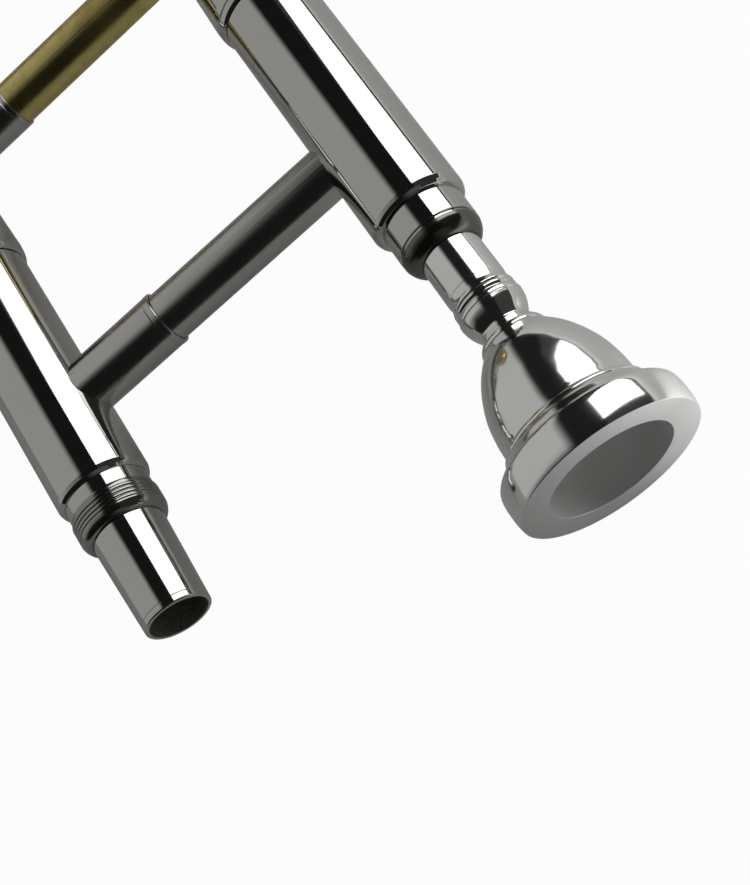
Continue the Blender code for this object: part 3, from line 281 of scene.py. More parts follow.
def grainy(name, colour, deep_colour, roughness, grain_mm, depth_mm):
    """Cork, rubber and other dull stuff: grains of two shades, each a small hollow or swelling."""
    material, tree, shader, place = new_material(name)
    grains = add_node(tree, "ShaderNodeTexVoronoi", {"Vector": place, "Scale": 1000.0 / grain_mm})
    specks = add_node(tree, "ShaderNodeTexNoise",
                      {"Vector": place, "Scale": 3000.0 / grain_mm, "Detail": 3.0})
    shades = add_node(tree, "ShaderNodeMath", {0: grains, 1: specks}, operation="MULTIPLY")
    ramp = add_node(tree, "ShaderNodeMapRange", {"Value": shades, "From Max": 0.45})
    tinted = add_node(tree, "ShaderNodeMix",
                      {"Factor": ramp, "A": linear(colour), "B": linear(deep_colour)},
                      data_type="RGBA")
    dulled = add_node(tree, "ShaderNodeMapRange",
                      {"Value": specks, "To Min": roughness - 0.08,
                       "To Max": roughness + 0.08})
    relief = add_node(tree, "ShaderNodeBump", {"Height": shades, "Strength": 0.6,
                                               "Distance": depth_mm / 1000.0})
    set_inputs(tree, shader, {"Base Color": tinted.outputs["Result"],
                              "Roughness": dulled, "Normal": relief})
    return material


def refinish(material, *nodes):
    """Gives CAD pieces that stay as they are their finer material."""
    for name in nodes:
        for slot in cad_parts[name].material_slots:
            slot.material = material


# Pressed cork: brown crumbs about 1 mm across, dull and slightly hollow.
cork = grainy("pressed_cork", "#b08a5c", "#6f4c2b", 0.85, 0.9, 0.15)
refinish(cork, "bumper_cork_tenon_side", "bumper_cork_mouthpiece_side")

# Tenon and threaded ring: the tapered tube that plugs into the bell section, and behind it the
# ring whose thread the bell's lock nut grips. Turned and plated; the thread is left a little sharp.
tenon = turn("tenon_taper",
             [(0.0, 7.02, 0.4), (-1.45, 7.063), (-1.55, 6.99), (-1.65, 7.07),
              (-20.0, 7.62), (-50.0, 7.62), (-50.0, 6.62), (-19.7, 6.62),
              (-19.7, 6.12), (0.0, 6.12, 0.3)], tenon_side, 160)
finished(tenon, nickel, "frame", "nickel_plate", "tenon_tube")


def finish_faces(piece, material, place, chosen):
    """Gives another finish to the faces that chosen picks, by how far along (mm) and how far out (mm)
    their middles are, and by how much they face outwards (1 is straight out)."""
    piece.data.materials.append(material)
    for face in piece.data.polygons:
        spot = face.center - place.translation
        out = math.hypot(spot.y, spot.z)
        outward = (face.normal.y * spot.y + face.normal.z * spot.z) / out
        if chosen(spot.x * 1000, out * 1000, outward):
            face.material_index = len(piece.data.materials) - 1


# Greased bore: a dull film of old slide grease over the nickel. It is drawn paler than such a film is,
# so that the little light that falls into the tube shows its bore as dark grey and not as black.
greased_bore = grainy("greased_bore", "#bdbcb0", "#8f8e84", 0.6, 0.6, 0.01)
finish_faces(tenon, greased_bore, tenon_side, lambda along, out, outward: outward < -0.5)


def curve_through(knots, parts=6):
    """The corners of one smooth curve through points (along, radius), in millimetres."""
    knots = [Vector(knot) for knot in knots]
    knots = [knots[0] * 2 - knots[1]] + knots + [knots[-1] * 2 - knots[-2]]
    corners = []
    for four in zip(knots, knots[1:], knots[2:], knots[3:]):
        pace = [0.0]
        for a, b in zip(four, four[1:]):
            pace.append(pace[-1] + math.sqrt((b - a).length))
        for k in range(parts):
            now = pace[1] + (pace[2] - pace[1]) * k / parts
            row = four
            for pairs in (((0, 1), (1, 2), (2, 3)), ((0, 2), (1, 3)), ((1, 2),)):
                row = [a.lerp(b, (now - pace[i]) / (pace[j] - pace[i]))
                       for (i, j), a, b in zip(pairs, row, row[1:])]
            corners.append((row[0].x, row[0].y))
    return corners + [(knots[-2].x, knots[-2].y)]


ring_corners = [(-20.9, 7.66)] + curve_through(
    [(-20.9, 7.85), (-21.15, 8.4), (-21.6, 8.8), (-22.2, 9.1), (-22.8, 9.27)], 5)
ring_corners += [(-22.9, 9.12), (-26.9, 9.12), (-27.6, 8.9, 0.3),
                 (-33.0, 8.9), (-33.0, 9.0), (-56.0, 9.0), (-56.0, 7.74)]
ring = turn("threaded_ring_core", ring_corners, tenon_side, 160)
finished(ring, nickel, "frame", "nickel_plate", "threaded_ring")


def cap_ends():
    """Closes the open ends of the piece that is being edited."""
    bpy.ops.mesh.select_all(action="DESELECT")
    bpy.ops.mesh.select_non_manifold()
    bpy.ops.mesh.fill()


def cut_thread(name, rear, root, crest, pitch, turns, place, steps=96):
    """The raised land of a screw thread: a low round-topped ridge wound about the X axis."""
    bpy.ops.mesh.primitive_circle_add(vertices=14, radius=1.0, rotation=(math.pi / 2, 0, 0))
    ridge = start_piece(name)
    bpy.ops.transform.resize(value=(pitch * 0.45, 1.0, crest - root))
    bpy.ops.transform.translate(value=(rear, 0.0, root))
    bpy.ops.object.mode_set(mode="OBJECT")
    bpy.ops.object.transform_apply(location=True, rotation=True, scale=True)
    modify(ridge, "SCREW", axis="X", angle=2 * math.pi, iterations=turns, screw_offset=-pitch,
           steps=steps, render_steps=steps)
    bpy.ops.object.mode_set(mode="EDIT")
    cap_ends()
    face_outwards()
    # The last turn sinks into the ring a little, as a thread runs out where the tool is drawn back.
    bpy.ops.mesh.select_all(action="DESELECT")
    bpy.ops.object.mode_set(mode="OBJECT")
    for vertex in ridge.data.vertices:
        vertex.select = vertex.co.x < rear - (turns - 1) * pitch
    bpy.ops.object.mode_set(mode="EDIT")
    bpy.ops.transform.resize(value=(1.0, 0.965, 0.965), center_override=(0, 0, 0))
    return settle(ridge, place)


underneath = turned(tenon_side, 180, "X")
thread = cut_thread("threaded_ring_thread", -23.2, 9.12, 9.3, 0.87, 5, underneath)
# Darker nickel: darker and softer than the barrels, on the thread and on the ring's end nearest the tenon.
darker_nickel = polished_metal("darker_nickel_plate", "#a9a8a3", "#999892", 0.12, 0.2)
finished(thread, darker_nickel, "frame", "nickel_plate")
finish_faces(ring, darker_nickel, tenon_side, lambda along, out, outward: along > -27.4)

# Mouthpiece receiver: the tapered socket for the mouthpiece's shank, plugged into its barrel, with
# a bead round its mouth behind a fine turned groove. Turned and plated like the barrels.
socket_corners = [(-20.5, 6.1)] + curve_through(
    [(-20.5, 6.2), (-20.6, 6.5), (-20.85, 6.9), (-21.3, 7.35), (-21.9, 7.8), (-22.6, 8.12),
     (-23.3, 8.33), (-23.95, 8.36)], 5)
socket_corners += [(-24.1, 8.05), (-24.5, 8.05), (-24.65, 8.42, 0.12), (-33.0, 8.42),
                   (-33.0, 9.0), (-56.0, 9.0), (-56.0, 6.62), (-46.8, 6.62),
                   (-46.8, 5.6)]
receiver = turn("mouthpiece_socket", socket_corners, mouth_side, 160)
finished(receiver, nickel, "frame", "nickel_plate", "mouthpiece_receiver")
# Painted shade: a dull brownish grey painted on the bead's nose, darker than the barrels' nickel, in place
# of the dark that the nose mirrors.
painted_shade_nickel = polished_metal("painted_shade_nickel_plate", "#7e7d76", "#696861", 0.22, 0.3)
finish_faces(receiver, painted_shade_nickel, mouth_side, lambda along, out, outward: along > -24.2)

# Leadpipe: the thin tapered brass tube behind the receiver, which the mouthpiece blows into. It is
# soldered in its tube, keeps its CAD shape, and shows only when the mouthpiece is out.


def lacquered_brass(name, colour, deep_colour, aged_colour, roughness):
    """Brass under clear lacquer, which has let some reddish age spots 3 to 8 mm across creep in."""
    material = polished_metal(name, colour, deep_colour, roughness, 0.5)
    tree = material.node_tree
    shader = tree.nodes["Principled BSDF"]
    place = add_node(tree, "ShaderNodeTexCoord").outputs["Object"]
    spots = add_node(tree, "ShaderNodeTexNoise",
                     {"Vector": place, "Scale": 160.0, "Detail": 6.0, "Roughness": 0.65})
    aged = add_node(tree, "ShaderNodeMapRange",
                    {"Value": spots, "From Min": 0.48, "From Max": 0.72,
                     "To Max": 0.45})
    clean = shader.inputs["Base Color"].links[0].from_socket
    spotted = add_node(tree, "ShaderNodeMix", {"Factor": aged, "A": clean,
                                               "B": linear(aged_colour)}, data_type="RGBA")
    set_inputs(tree, shader, {"Base Color": spotted.outputs["Result"], "Coat Weight": 0.35,
                              "Coat Roughness": 0.04})
    return material


brass = lacquered_brass("lacquered_brass", "#e8db90", "#d8c46e", "#9a7444", 0.27)
refinish(brass, "leadpipe")

# Inner brace: the left hand's cross tube. A tube soldered to the mouthpiece side's barrel slides
# into a wider sleeve soldered to the tenon side's, so the two sides can be lined up unstrained.
tube_spacing = 82.1
inner_brace_at = -51.7
barrel_seat = 9.93


def moved(place, x, y=0.0, z=0.0):
    """A place moved along its own axes, in millimetres."""
    return place @ Matrix.Translation((x / 1000, y / 1000, z / 1000))


def across(place, along):
    """A piece's place across the slide: its own X runs from the tenon side to the other."""
    return turned(moved(place, along), 90, "Z")


def round_cutter(place, radius, rotation, vertices):
    """A long round file or drill through a place, with its radius in millimetres."""
    bpy.ops.mesh.primitive_cylinder_add(vertices=vertices, radius=radius, depth=60.0,
                                        rotation=rotation)
    cutter = bpy.context.object
    bpy.ops.object.transform_apply(location=False, rotation=True, scale=False)
    cutter.data.transform(place @ Matrix.Scale(0.001, 4))
    return cutter


def cope(piece, radius, place):
    """Files a piece's end hollow, to sit on a round tube that lies along X."""
    cut(piece, round_cutter(place, radius, (0, math.pi / 2, 0), 192))
    shade(piece)
    return piece


# Brushed nickel: plated over a finer brushing than the barrels', so its mirror runs soft at the edges.
brushed_nickel = polished_metal("brushed_nickel_plate", "#c9c8c4", "#c3c2bd", 0.2, 0.25)
inner_brace = turn("inner_brace_cross_tube",
                   [(tube_spacing, 5.4), (16.0, 5.4, 0.1), (16.0, 4.8),
                    (tube_spacing, 4.8)], across(tenon_side, inner_brace_at), 128)
cope(inner_brace, barrel_seat, moved(mouth_side, inner_brace_at))
finished(inner_brace, brushed_nickel, "frame", "nickel_plate", "inner_brace_tube")
inner_sleeve = turn("inner_brace_socket",
                    [(30.0, 5.5, 0.05), (30.0, 6.02, 0.3), (28.75, 6.02, 0.1), (28.65, 5.9),
                     (28.4, 5.9), (28.3, 5.95), (0.0, 5.95), (0.0, 5.5)],
                    across(tenon_side, inner_brace_at), 128)
cope(inner_sleeve, barrel_seat, moved(tenon_side, inner_brace_at))
finished(inner_sleeve, brushed_nickel, "frame", "nickel_plate", "inner_brace_sleeve")

# Mouthpiece: turned from one bar of brass and silver plated, paler than the nickel. Everything is
# buffed bright but the rim's face and the cup, which are left with a fine matt turning.
silver = polished_metal("bright_silver_plate", "#f2f2ef", "#e9e9e5", 0.11, 0.03)
mouthpiece_corners = [(31.9, 12.7, 0.12), (31.9, 18.2), (31.88, 18.28)]
mouthpiece_corners += curve_through(
    [(31.8, 18.36), (31.2, 18.5), (30.4, 18.61), (29.2, 18.69), (27.6, 18.69), (26.2, 18.6),
     (25.3, 18.37), (24.7, 17.93), (24.1, 17.2), (23.4, 16.35), (22.8, 15.7), (22.2, 15.2),
     (21.8, 14.98)])
mouthpiece_corners += [(21.65, 14.72)] + curve_through(
    [(21.5, 14.78), (21.2, 14.74), (20.85, 14.52), (20.5, 14.15)], 4) + [(20.4, 13.88)]
mouthpiece_corners += curve_through(
    [(20.2, 13.86), (19.4, 13.76), (18.2, 13.69), (16.8, 13.6), (15.0, 13.38), (13.2, 13.07),
     (11.4, 12.6), (9.6, 11.93), (7.8, 11.14), (6.0, 10.17), (4.8, 9.4), (3.6, 8.5), (2.6, 7.65),
     (1.9, 7.05), (1.5, 6.76)])
mouthpiece_corners += [(1.4, 6.62)] + curve_through(
    [(1.3, 6.7), (0.9, 6.68), (0.4, 6.45), (-0.2, 6.0), (-0.8, 5.5), (-1.3, 5.15), (-1.6, 5.03),
     (-1.85, 5.04), (-2.4, 5.27), (-3.0, 5.6), (-3.6, 5.9), (-4.3, 6.18), (-5.1, 6.43),
     (-5.9, 6.57)])
mouthpiece_corners += [(-6.0, 6.5), (-6.15, 6.5)] + curve_through(
    [(-6.25, 6.6), (-6.7, 6.63), (-7.1, 6.52), (-7.45, 6.33)], 5) + [(-7.6, 6.18)]
mouthpiece_corners += curve_through([(-7.75, 6.25), (-8.05, 6.4), (-8.35, 6.4), (-8.6, 6.3)], 5)
mouthpiece_corners += [(-8.68, 6.2)] + curve_through(
    [(-8.78, 6.32), (-9.05, 6.39), (-9.4, 6.3), (-9.8, 6.13), (-10.2, 6.02), (-10.6, 5.99)], 5)
mouthpiece_corners += [(-11.2, 5.99), (-11.35, 5.99), (-11.42, 5.87),
                       (-11.52, 6.08), (-11.7, 6.09), (-19.5, 6.06),
                       (-46.3, 5.4), (-46.5, 5.3), (-46.5, 4.5, 0.1), (3.4, 3.2, 2.0),
                       (8.4, 3.2, 2.0), (9.3, 4.7, 1.0), (12.2, 7.2, 2.0), (17.8, 10.4, 4.0),
                       (25.3, 12.2, 4.0)]
mouthpiece = turn("mouthpiece_turned", mouthpiece_corners, mouth_side, 224, large_lead=False)
finished(mouthpiece, silver, "mouthpiece", "silver_plate", "mouthpiece")


def matt_metal(name, colour, deep_colour, roughness):
    """Fine matt plate: light spreads over it softly, and grit 0.15 mm apart breaks its sheen."""
    material, tree, shader, place = new_material(name)
    cloud = add_node(tree, "ShaderNodeTexNoise", {"Vector": place, "Scale": 120.0, "Detail": 5.0})
    grit = add_node(tree, "ShaderNodeTexNoise", {"Vector": place, "Scale": 7000.0, "Detail": 2.0})
    dulled = add_node(tree, "ShaderNodeMapRange",
                      {"Value": cloud, "To Min": roughness - 0.07,
                       "To Max": roughness + 0.07})
    tinted = add_node(tree, "ShaderNodeMix",
                      {"Factor": cloud, "A": linear(colour), "B": linear(deep_colour)},
                      data_type="RGBA")
    relief = add_node(tree, "ShaderNodeBump",
                      {"Height": grit, "Strength": 0.4, "Distance": 0.00001})
    set_inputs(tree, shader, {"Metallic": 1.0, "Base Color": tinted.outputs["Result"],
                              "Roughness": dulled, "Normal": relief})
    return material


# Satin silver: the same plate left unbuffed, on the rim's face and, matter still, inside the cup.
satin = matt_metal("satin_silver_plate", "#f0f0ef", "#e6e6e4", 0.5)
cup_satin = matt_metal("satin_silver_cup", "#f4f4f3", "#eaeae9", 0.75)
rim_face, cup_bottom, cup_edge = 31.89, 8.5, 12.71
finish_faces(mouthpiece, satin, mouth_side, lambda along, out, outward: along > rim_face)
finish_faces(mouthpiece, cup_satin, mouth_side,
             lambda along, out, outward: cup_bottom < along <= rim_face and outward < 0 and out < cup_edge)

# Outer slide tubes: the long light tubes that the player moves. Each has a stout sleeve and ring
# behind, which run inside the barrels, and a ferrule over its joint with the bow in front.
for side, place in (("tenon_side", tenon_side), ("mouthpiece_side", mouth_side)):
    long_tube = turn("outer_tube_drawn_" + side,
                     [(-64.6, 7.25, 0.1), (-732.1, 7.25, 0.1), (-732.1, 6.95, 0.05),
                      (-64.6, 6.95, 0.05)], place)
    finished(long_tube, nickel, "hand_slide", "nickel_plate", "outer_tube_" + side)
    stout = turn("end_sleeve_turned_" + side,
                 [(-64.6, 8.8, 0.4), (-67.6, 8.8, 0.4), (-67.8, 8.17, 0.3), (-130.6, 8.17, 0.7),
                  (-130.6, 7.37, 0.05), (-64.6, 7.37, 0.1)], place)
    finished(stout, nickel, "hand_slide", "nickel_plate", "end_sleeve_" + side)
    band = turn("bow_ferrule_turned_" + side,
                [(-722.6, 7.5, 0.05), (-722.6, 8.17, 0.5), (-724.2, 8.17),
                 (-724.3, 8.02, 0.05), (-724.7, 8.02, 0.05), (-724.8, 8.17, 0.05),
                 (-739.4, 8.17, 0.05), (-739.5, 8.02, 0.05), (-739.9, 8.02, 0.05),
                 (-740.0, 8.17), (-741.6, 8.17, 0.5), (-741.6, 7.37),
                 (-722.6, 7.37)], place)
    finished(band, nickel, "hand_slide", "nickel_plate", "bow_ferrule_" + side)

# Outer brace: the cross tube of the moving slide. Lacquered brass, soldered to the mouthpiece
# side's sleeve, and telescoped into a short nickel-plated socket on the tenon side.
outer_brace_at = -117.6
sleeve_seat = 8.2
outer_brace = turn("outer_brace_cross_tube",
                   [(tube_spacing, 5.1), (12.0, 5.1, 0.1), (12.0, 4.5),
                    (tube_spacing, 4.5)], across(tenon_side, outer_brace_at), 128)
cope(outer_brace, sleeve_seat, moved(mouth_side, outer_brace_at))
finished(outer_brace, brass, "hand_slide", "lacquered_brass", "outer_brace_tube")
outer_socket = turn("outer_brace_socket",
                    [(27.1, 5.2, 0.05), (27.1, 5.52, 0.2), (26.1, 5.52), (26.0, 5.45),
                     (25.9, 5.52), (0.0, 5.52), (0.0, 5.2)],
                    across(tenon_side, outer_brace_at), 128)
cope(outer_socket, sleeve_seat, moved(tenon_side, outer_brace_at))
finished(outer_socket, brushed_nickel, "hand_slide", "nickel_plate", "outer_brace_sleeve")

# Slide lock stub: the small round stop on the sleeve that the hook turns over. Turned and brazed.
base = turned(turned(moved(mouth_side, -106.6), -90, "X"), -90, "Y")
stub = turn("slide_lock_stop",
            [(10.49, 0.0), (10.49, 1.2, 0.3), (8.29, 1.2), (8.29, 0.0)],
            base, 48, closed=False)
finished(stub, nickel, "hand_slide", "nickel_plate", "slide_lock_stub")

# Slide bow: a tube bent to a half circle round a former while filled with pitch, then plated. Its
# rubber bumper sits in a cup brazed at the tip and takes the weight when the slide stands.


def bend_tube(name, first, last, straight, across_by, place, wall=None):
    """A tube run straight, bent through a half circle and run straight back, evenly tapered. Without
    a wall it is a solid bar."""
    rows = 64
    bpy.ops.mesh.primitive_circle_add(vertices=72, radius=first, rotation=(0, math.pi / 2, 0))
    bpy.ops.object.transform_apply(location=False, rotation=True, scale=False)
    piece = start_piece(name)
    bpy.ops.mesh.extrude_region_move(TRANSFORM_OT_translate={"value": (straight, 0, 0)})
    middle = (straight, across_by / 2, 0)
    size = first
    for k in range(1, rows + 1):
        angle = math.pi * k / rows
        bpy.ops.mesh.extrude_region_move(TRANSFORM_OT_translate={"value": (0, 0, 0)})
        bpy.ops.transform.rotate(value=-math.pi / rows, orient_axis="Z", center_override=middle)
        wanted = first + (last - first) * k / rows
        here = (straight + across_by / 2 * math.sin(angle),
                across_by / 2 * (1 - math.cos(angle)), 0)
        bpy.ops.transform.resize(value=(wanted / size,) * 3, center_override=here)
        size = wanted
    bpy.ops.mesh.extrude_region_move(TRANSFORM_OT_translate={"value": (-straight, 0, 0)})
    if wall is None:
        cap_ends()
    face_outwards()
    bpy.ops.object.mode_set(mode="OBJECT")
    if wall is not None:
        modify(piece, "SOLIDIFY", thickness=wall, offset=-1.0)
    return settle(piece, place)


bow_place = turned(moved(mouth_side, -732.4), 180, "Z")
bow = bend_tube("slide_bow_bent", 7.25, 7.25, 28.0, tube_spacing, bow_place, 0.3)
finished(bow, nickel, "hand_slide", "nickel_plate", "slide_bow")
tip_place = moved(tenon_side, 0.0, tube_spacing / 2)
cup = turn("bumper_cup",
           [(-802.0, 0.0), (-802.0, 5.8), (-808.7, 6.0, 1.0), (-814.1, 6.0, 0.5),
            (-814.7, 5.5, 0.2), (-814.7, 5.0, 0.1), (-810.7, 5.0), (-810.7, 0.0)],
           tip_place, 96, closed=False)
cut(cup, bend_tube("bow_former", 7.27, 7.27, 28.0, tube_spacing, bow_place))
finished(cup, nickel, "hand_slide", "nickel_plate", "bumper_holder")
# Moulded rubber: black with a fine dull grain.
rubber = grainy("black_rubber", "#26262a", "#17171a", 0.6, 0.35, 0.03)
bumper = turn("bumper_plug", [(-811.0, 0.0), (-811.0, 4.8, 0.1), (-816.2, 4.8, 1.2),
                              (-819.0, 3.4, 2.0), (-819.69, 1.4, 1.2), (-819.69, 0.0)],
              tip_place, 96, closed=False)
finished(bumper, rubber, "hand_slide", "black_rubber", "bow_bumper")

# Water key: a nipple on the bow with a hole to drain it, closed by a cork on a sprung lever. The
# key is cast, filed and plated, and swings on a steel screw between the two ears of its saddle.
bow_seat = 7.3
nipple_centre = moved(tenon_side, -747.1)
nipple = turn("water_key_spout",
              [(11.25, 3.0, 0.35), (10.6, 3.2, 0.2), (9.9, 2.75, 0.3), (8.9, 2.75, 0.4),
               (8.0, 3.2, 0.3), (5.0, 3.2), (5.0, 1.6), (11.25, 1.6, 0.2)],
              turned(nipple_centre, -90, "Z"), 72)
cope(nipple, bow_seat, nipple_centre)
finished(nipple, nickel, "hand_slide", "nickel_plate", "water_key_nipple")

pivot_place = moved(tenon_side, -757.6, -12.75)
pin_place = turned(pivot_place, -90, "Y")
pin_hole = [(-8.0, 0.0), (-8.0, 1.1), (8.0, 1.1), (8.0, 0.0)]
saddle = lay_block("water_key_seat", (-3.5, 2.7, -6.5), (3.5, 9.0, 6.5), pivot_place, 0.4)
for z in (-6.5, 5.1):
    ear = lay_block("ear", (-2.4, 0.0, z), (2.4, 4.0, z + 1.4), pivot_place, 0.15)
    knob = turn("knob", [(z, 0.0), (z, 2.4, 0.15), (z + 1.4, 2.4, 0.15), (z + 1.4, 0.0)],
                pin_place, 64, closed=False)
    cut(ear, knob, "UNION")
    cut(saddle, ear, "UNION")
cut(saddle, turn("hole", pin_hole, pin_place, 48, closed=False))
cope(saddle, bow_seat, moved(tenon_side, -757.6))
finished(saddle, nickel, "hand_slide", "nickel_plate", "water_key_saddle")

screw = turn("water_key_pin",
             [(7.7, 0.0), (7.7, 1.3), (7.5, 1.65, 0.25), (6.8, 1.7, 0.05), (6.8, 0.9),
              (-6.4, 0.9, 0.2), (-6.4, 0.0)], pin_place, 48, closed=False)
cut(screw, lay_block("screw_slot", (-2.0, -0.2, 7.3), (2.0, 0.2, 8.2), pivot_place, 0.02))
# Drawn steel: a blue-grey metal with hairlines from the die.
steel = polished_metal("drawn_steel", "#b9bbbe", "#a5a8ac", 0.22, 0.6)
finished(screw, steel, "hand_slide", "steel", "water_key_screw")

# The lever is one bar worked along its length: a cup over the cork, a thick eye, then a thin strip
# that rises and widens into the touch for the finger. Its rows are (x, y, thickness, width).
lever_rows = [(13.9, -3.6, 1.4, 3.0), (12.8, -3.6, 1.4, 5.2), (10.5, -3.6, 1.5, 6.2),
              (8.2, -3.6, 1.5, 5.2), (6.2, -3.3, 1.6, 4.2), (3.6, -1.9, 2.2, 4.2),
              (1.6, -0.5, 3.4, 4.3), (0.0, 0.0, 4.2, 4.3), (-1.6, -0.4, 3.4, 4.3),
              (-3.6, -1.1, 2.0, 4.2), (-8.0, -0.9, 1.4, 3.8), (-13.0, -0.1, 1.3, 4.0),
              (-18.0, 1.4, 1.3, 5.6), (-23.0, 3.3, 1.3, 7.2), (-27.0, 4.6, 1.2, 6.4),
              (-28.8, 5.0, 1.0, 3.4)]
bpy.ops.mesh.primitive_plane_add(size=1.0, rotation=(0, math.pi / 2, 0))
bpy.ops.object.transform_apply(location=False, rotation=True, scale=False)
lever = start_piece("water_key_finger_lever")
before = (0.0, 0.0, 1.0, 1.0)
for row, (x, y, thick, wide) in enumerate(lever_rows):
    if row:
        bpy.ops.mesh.extrude_region_move(TRANSFORM_OT_translate={"value": (0, 0, 0)})
    bpy.ops.transform.translate(value=(x - before[0], y - before[1], 0))
    bpy.ops.transform.resize(value=(1, thick / before[2], wide / before[3]),
                             center_override=(x, y, 0))
    before = (x, y, thick, wide)
face_outwards()
bpy.ops.object.mode_set(mode="OBJECT")
modify(lever, "BEVEL", width=0.25, segments=2)
modify(lever, "SUBSURF", levels=2, render_levels=2)
settle(lever, pivot_place)
cut(lever, turn("eye", pin_hole, pin_place, 48, closed=False))
finished(lever, nickel, "water_key", "nickel_plate", "water_key_lever")
pad = turn("water_key_pad", [(0.6, 0.0), (0.6, 3.3), (-1.2, 3.4, 0.4), (-1.2, 0.0)],
           moved(turned(moved(pivot_place, 10.5), -90, "Z"), 0.7), 72, closed=False)
finished(pad, cork, "water_key", "cork", "water_key_cork")

# The spring is hard steel wire wound twice round the pin, one leg along the bow, one on the lever.
bpy.ops.mesh.primitive_circle_add(vertices=12, radius=0.28, location=(1.6, 0, 0),
                                  rotation=(math.pi / 2, 0, 0))
spring = bpy.context.object
spring.name = spring.data.name = "water_key_coil"
bpy.ops.object.transform_apply(location=True, rotation=True, scale=False)
modify(spring, "SCREW", axis="Z", angle=2 * math.pi, iterations=2, screw_offset=0.85,
       steps=32, render_steps=32)
bpy.ops.object.mode_set(mode="EDIT")
for low, high, leg in ((-1.0, 0.4, -5.0), (1.3, 3.0, 3.0)):
    bpy.ops.mesh.select_all(action="DESELECT")
    bpy.ops.mesh.select_non_manifold()
    bpy.ops.object.mode_set(mode="OBJECT")
    for edge in spring.data.edges:
        if edge.select:
            height = sum(spring.data.vertices[v].co.z for v in edge.vertices) / 2
            edge.select = low < height < high
    for vertex in spring.data.vertices:
        vertex.select = vertex.select and low < vertex.co.z < high
    bpy.ops.object.mode_set(mode="EDIT")
    bpy.ops.mesh.select_mode(type="EDGE")
    bpy.ops.mesh.extrude_edges_move(TRANSFORM_OT_translate={"value": (0, leg, 0)})
    bpy.ops.mesh.edge_face_add()
    bpy.ops.mesh.select_mode(type="VERT")
face_outwards()
settle(spring, turned(moved(pivot_place, 0.0, 0.0, 2.78), 90, "Z"))
finished(spring, steel, "hand_slide", "steel", "water_key_spring")

# Bell: one sheet of brass, spun thin on a mandrel from the stem to the flare, its edge rolled over
# a wire. Polished and lacquered, so the spinning shows only as a faint change of sheen.
bell_rim = Vector((-0.3958, -0.091225, 0.10231))
# The middle line sinks towards the tuning bow just so far that the bow rests on the floor too.
lean = math.asin(0.157337)
bell_place = Matrix.Translation(bell_rim) @ Matrix.Rotation(lean, 4, "Y")
rim_radius, wire_radius = 101.94, 1.6
flare_length = 392.0
bell_sheet = 0.6


def flare(x):
    """The bell's radius at a place behind its rim, in millimetres."""
    return rim_radius * ((min(x, flare_length) + 28.0) / 28.0) ** -0.8726


rings = 56  # They crowd towards the rim, where the flare turns fastest.
bell_corners = [(410.0, 9.6)]
for k in range(rings, -1, -1):
    x = flare_length * (k / rings) ** 2.2
    bell_corners.append((x, flare(x)))
for k in range(1, 12):
    a = math.radians(35 + 200 * k / 12)
    bell_corners.append((wire_radius * math.cos(a), rim_radius + wire_radius * math.sin(a)))
inside = []
for along, radius in bell_corners[1:rings + 2]:
    slope = (flare(along + 0.5) - flare(max(0.0, along - 0.5))) / (0.5 + min(along, 0.5))
    length = math.hypot(1.0, slope)
    inside.append((along + slope * bell_sheet / length, radius - bell_sheet / length))
bell_corners += list(reversed(inside)) + [(410.0, 9.0)]
bell = turn("bell_spun", bell_corners, bell_place, 224)
finished(bell, brass, "frame", "lacquered_brass", "bell")

# Neckpipe, tuning legs and their ferrules: drawn tube along both sides of the bell section. The
# legs are nickel silver for smooth running, and the ferrules cover the soldered joints.
neck_spacing = 118.0
neck_place = moved(bell_place, 0.0, neck_spacing)


def ferrule(name, middle, bore, place, body, node):
    """A turned band over a joint, thinned at both ends, with a fine groove inside each end."""
    low, high, top = middle - 9.0, middle + 9.0, bore + 0.9
    groove = top - 0.15
    band = turn(name, [(high, bore + 0.25, 0.05), (high - 0.5, top, 0.5), (high - 2.2, top, 0.05),
                       (high - 2.3, groove), (high - 2.6, groove), (high - 2.7, top, 0.05),
                       (low + 2.7, top, 0.05), (low + 2.6, groove), (low + 2.3, groove),
                       (low + 2.2, top, 0.05), (low + 0.5, top, 0.5), (low, bore + 0.25, 0.05),
                       (low, bore), (high, bore)], place)
    return finished(band, nickel, body, "nickel_plate", node)


for name, node, far, near, radius, bore, place, metal, slot in (
        ("bell_leg", "tuning_leg_bell_side", 495.3, 410.3, 9.6, 9.2, bell_place, nickel,
         "nickel_plate"),
        ("neckpipe_leg", "tuning_leg_neckpipe_side", 495.3, 410.3, 8.07, 7.67, neck_place, nickel,
         "nickel_plate"),
        ("neckpipe_drawn", "neckpipe", 410.0, 284.3, 7.35, 6.85, neck_place, brass,
         "lacquered_brass")):
    pipe = turn(name, [(far, radius, 0.12), (near, radius, 0.05), (near, bore), (far, bore, 0.08)],
                place)
    finished(pipe, metal, "frame", slot, node)
ferrule("bell_joint_ferrule", 410.3, 9.72, bell_place, "frame", "bell_ferrule")
ferrule("neckpipe_joint_ferrule", 410.3, 8.19, neck_place, "frame", "neckpipe_ferrule")

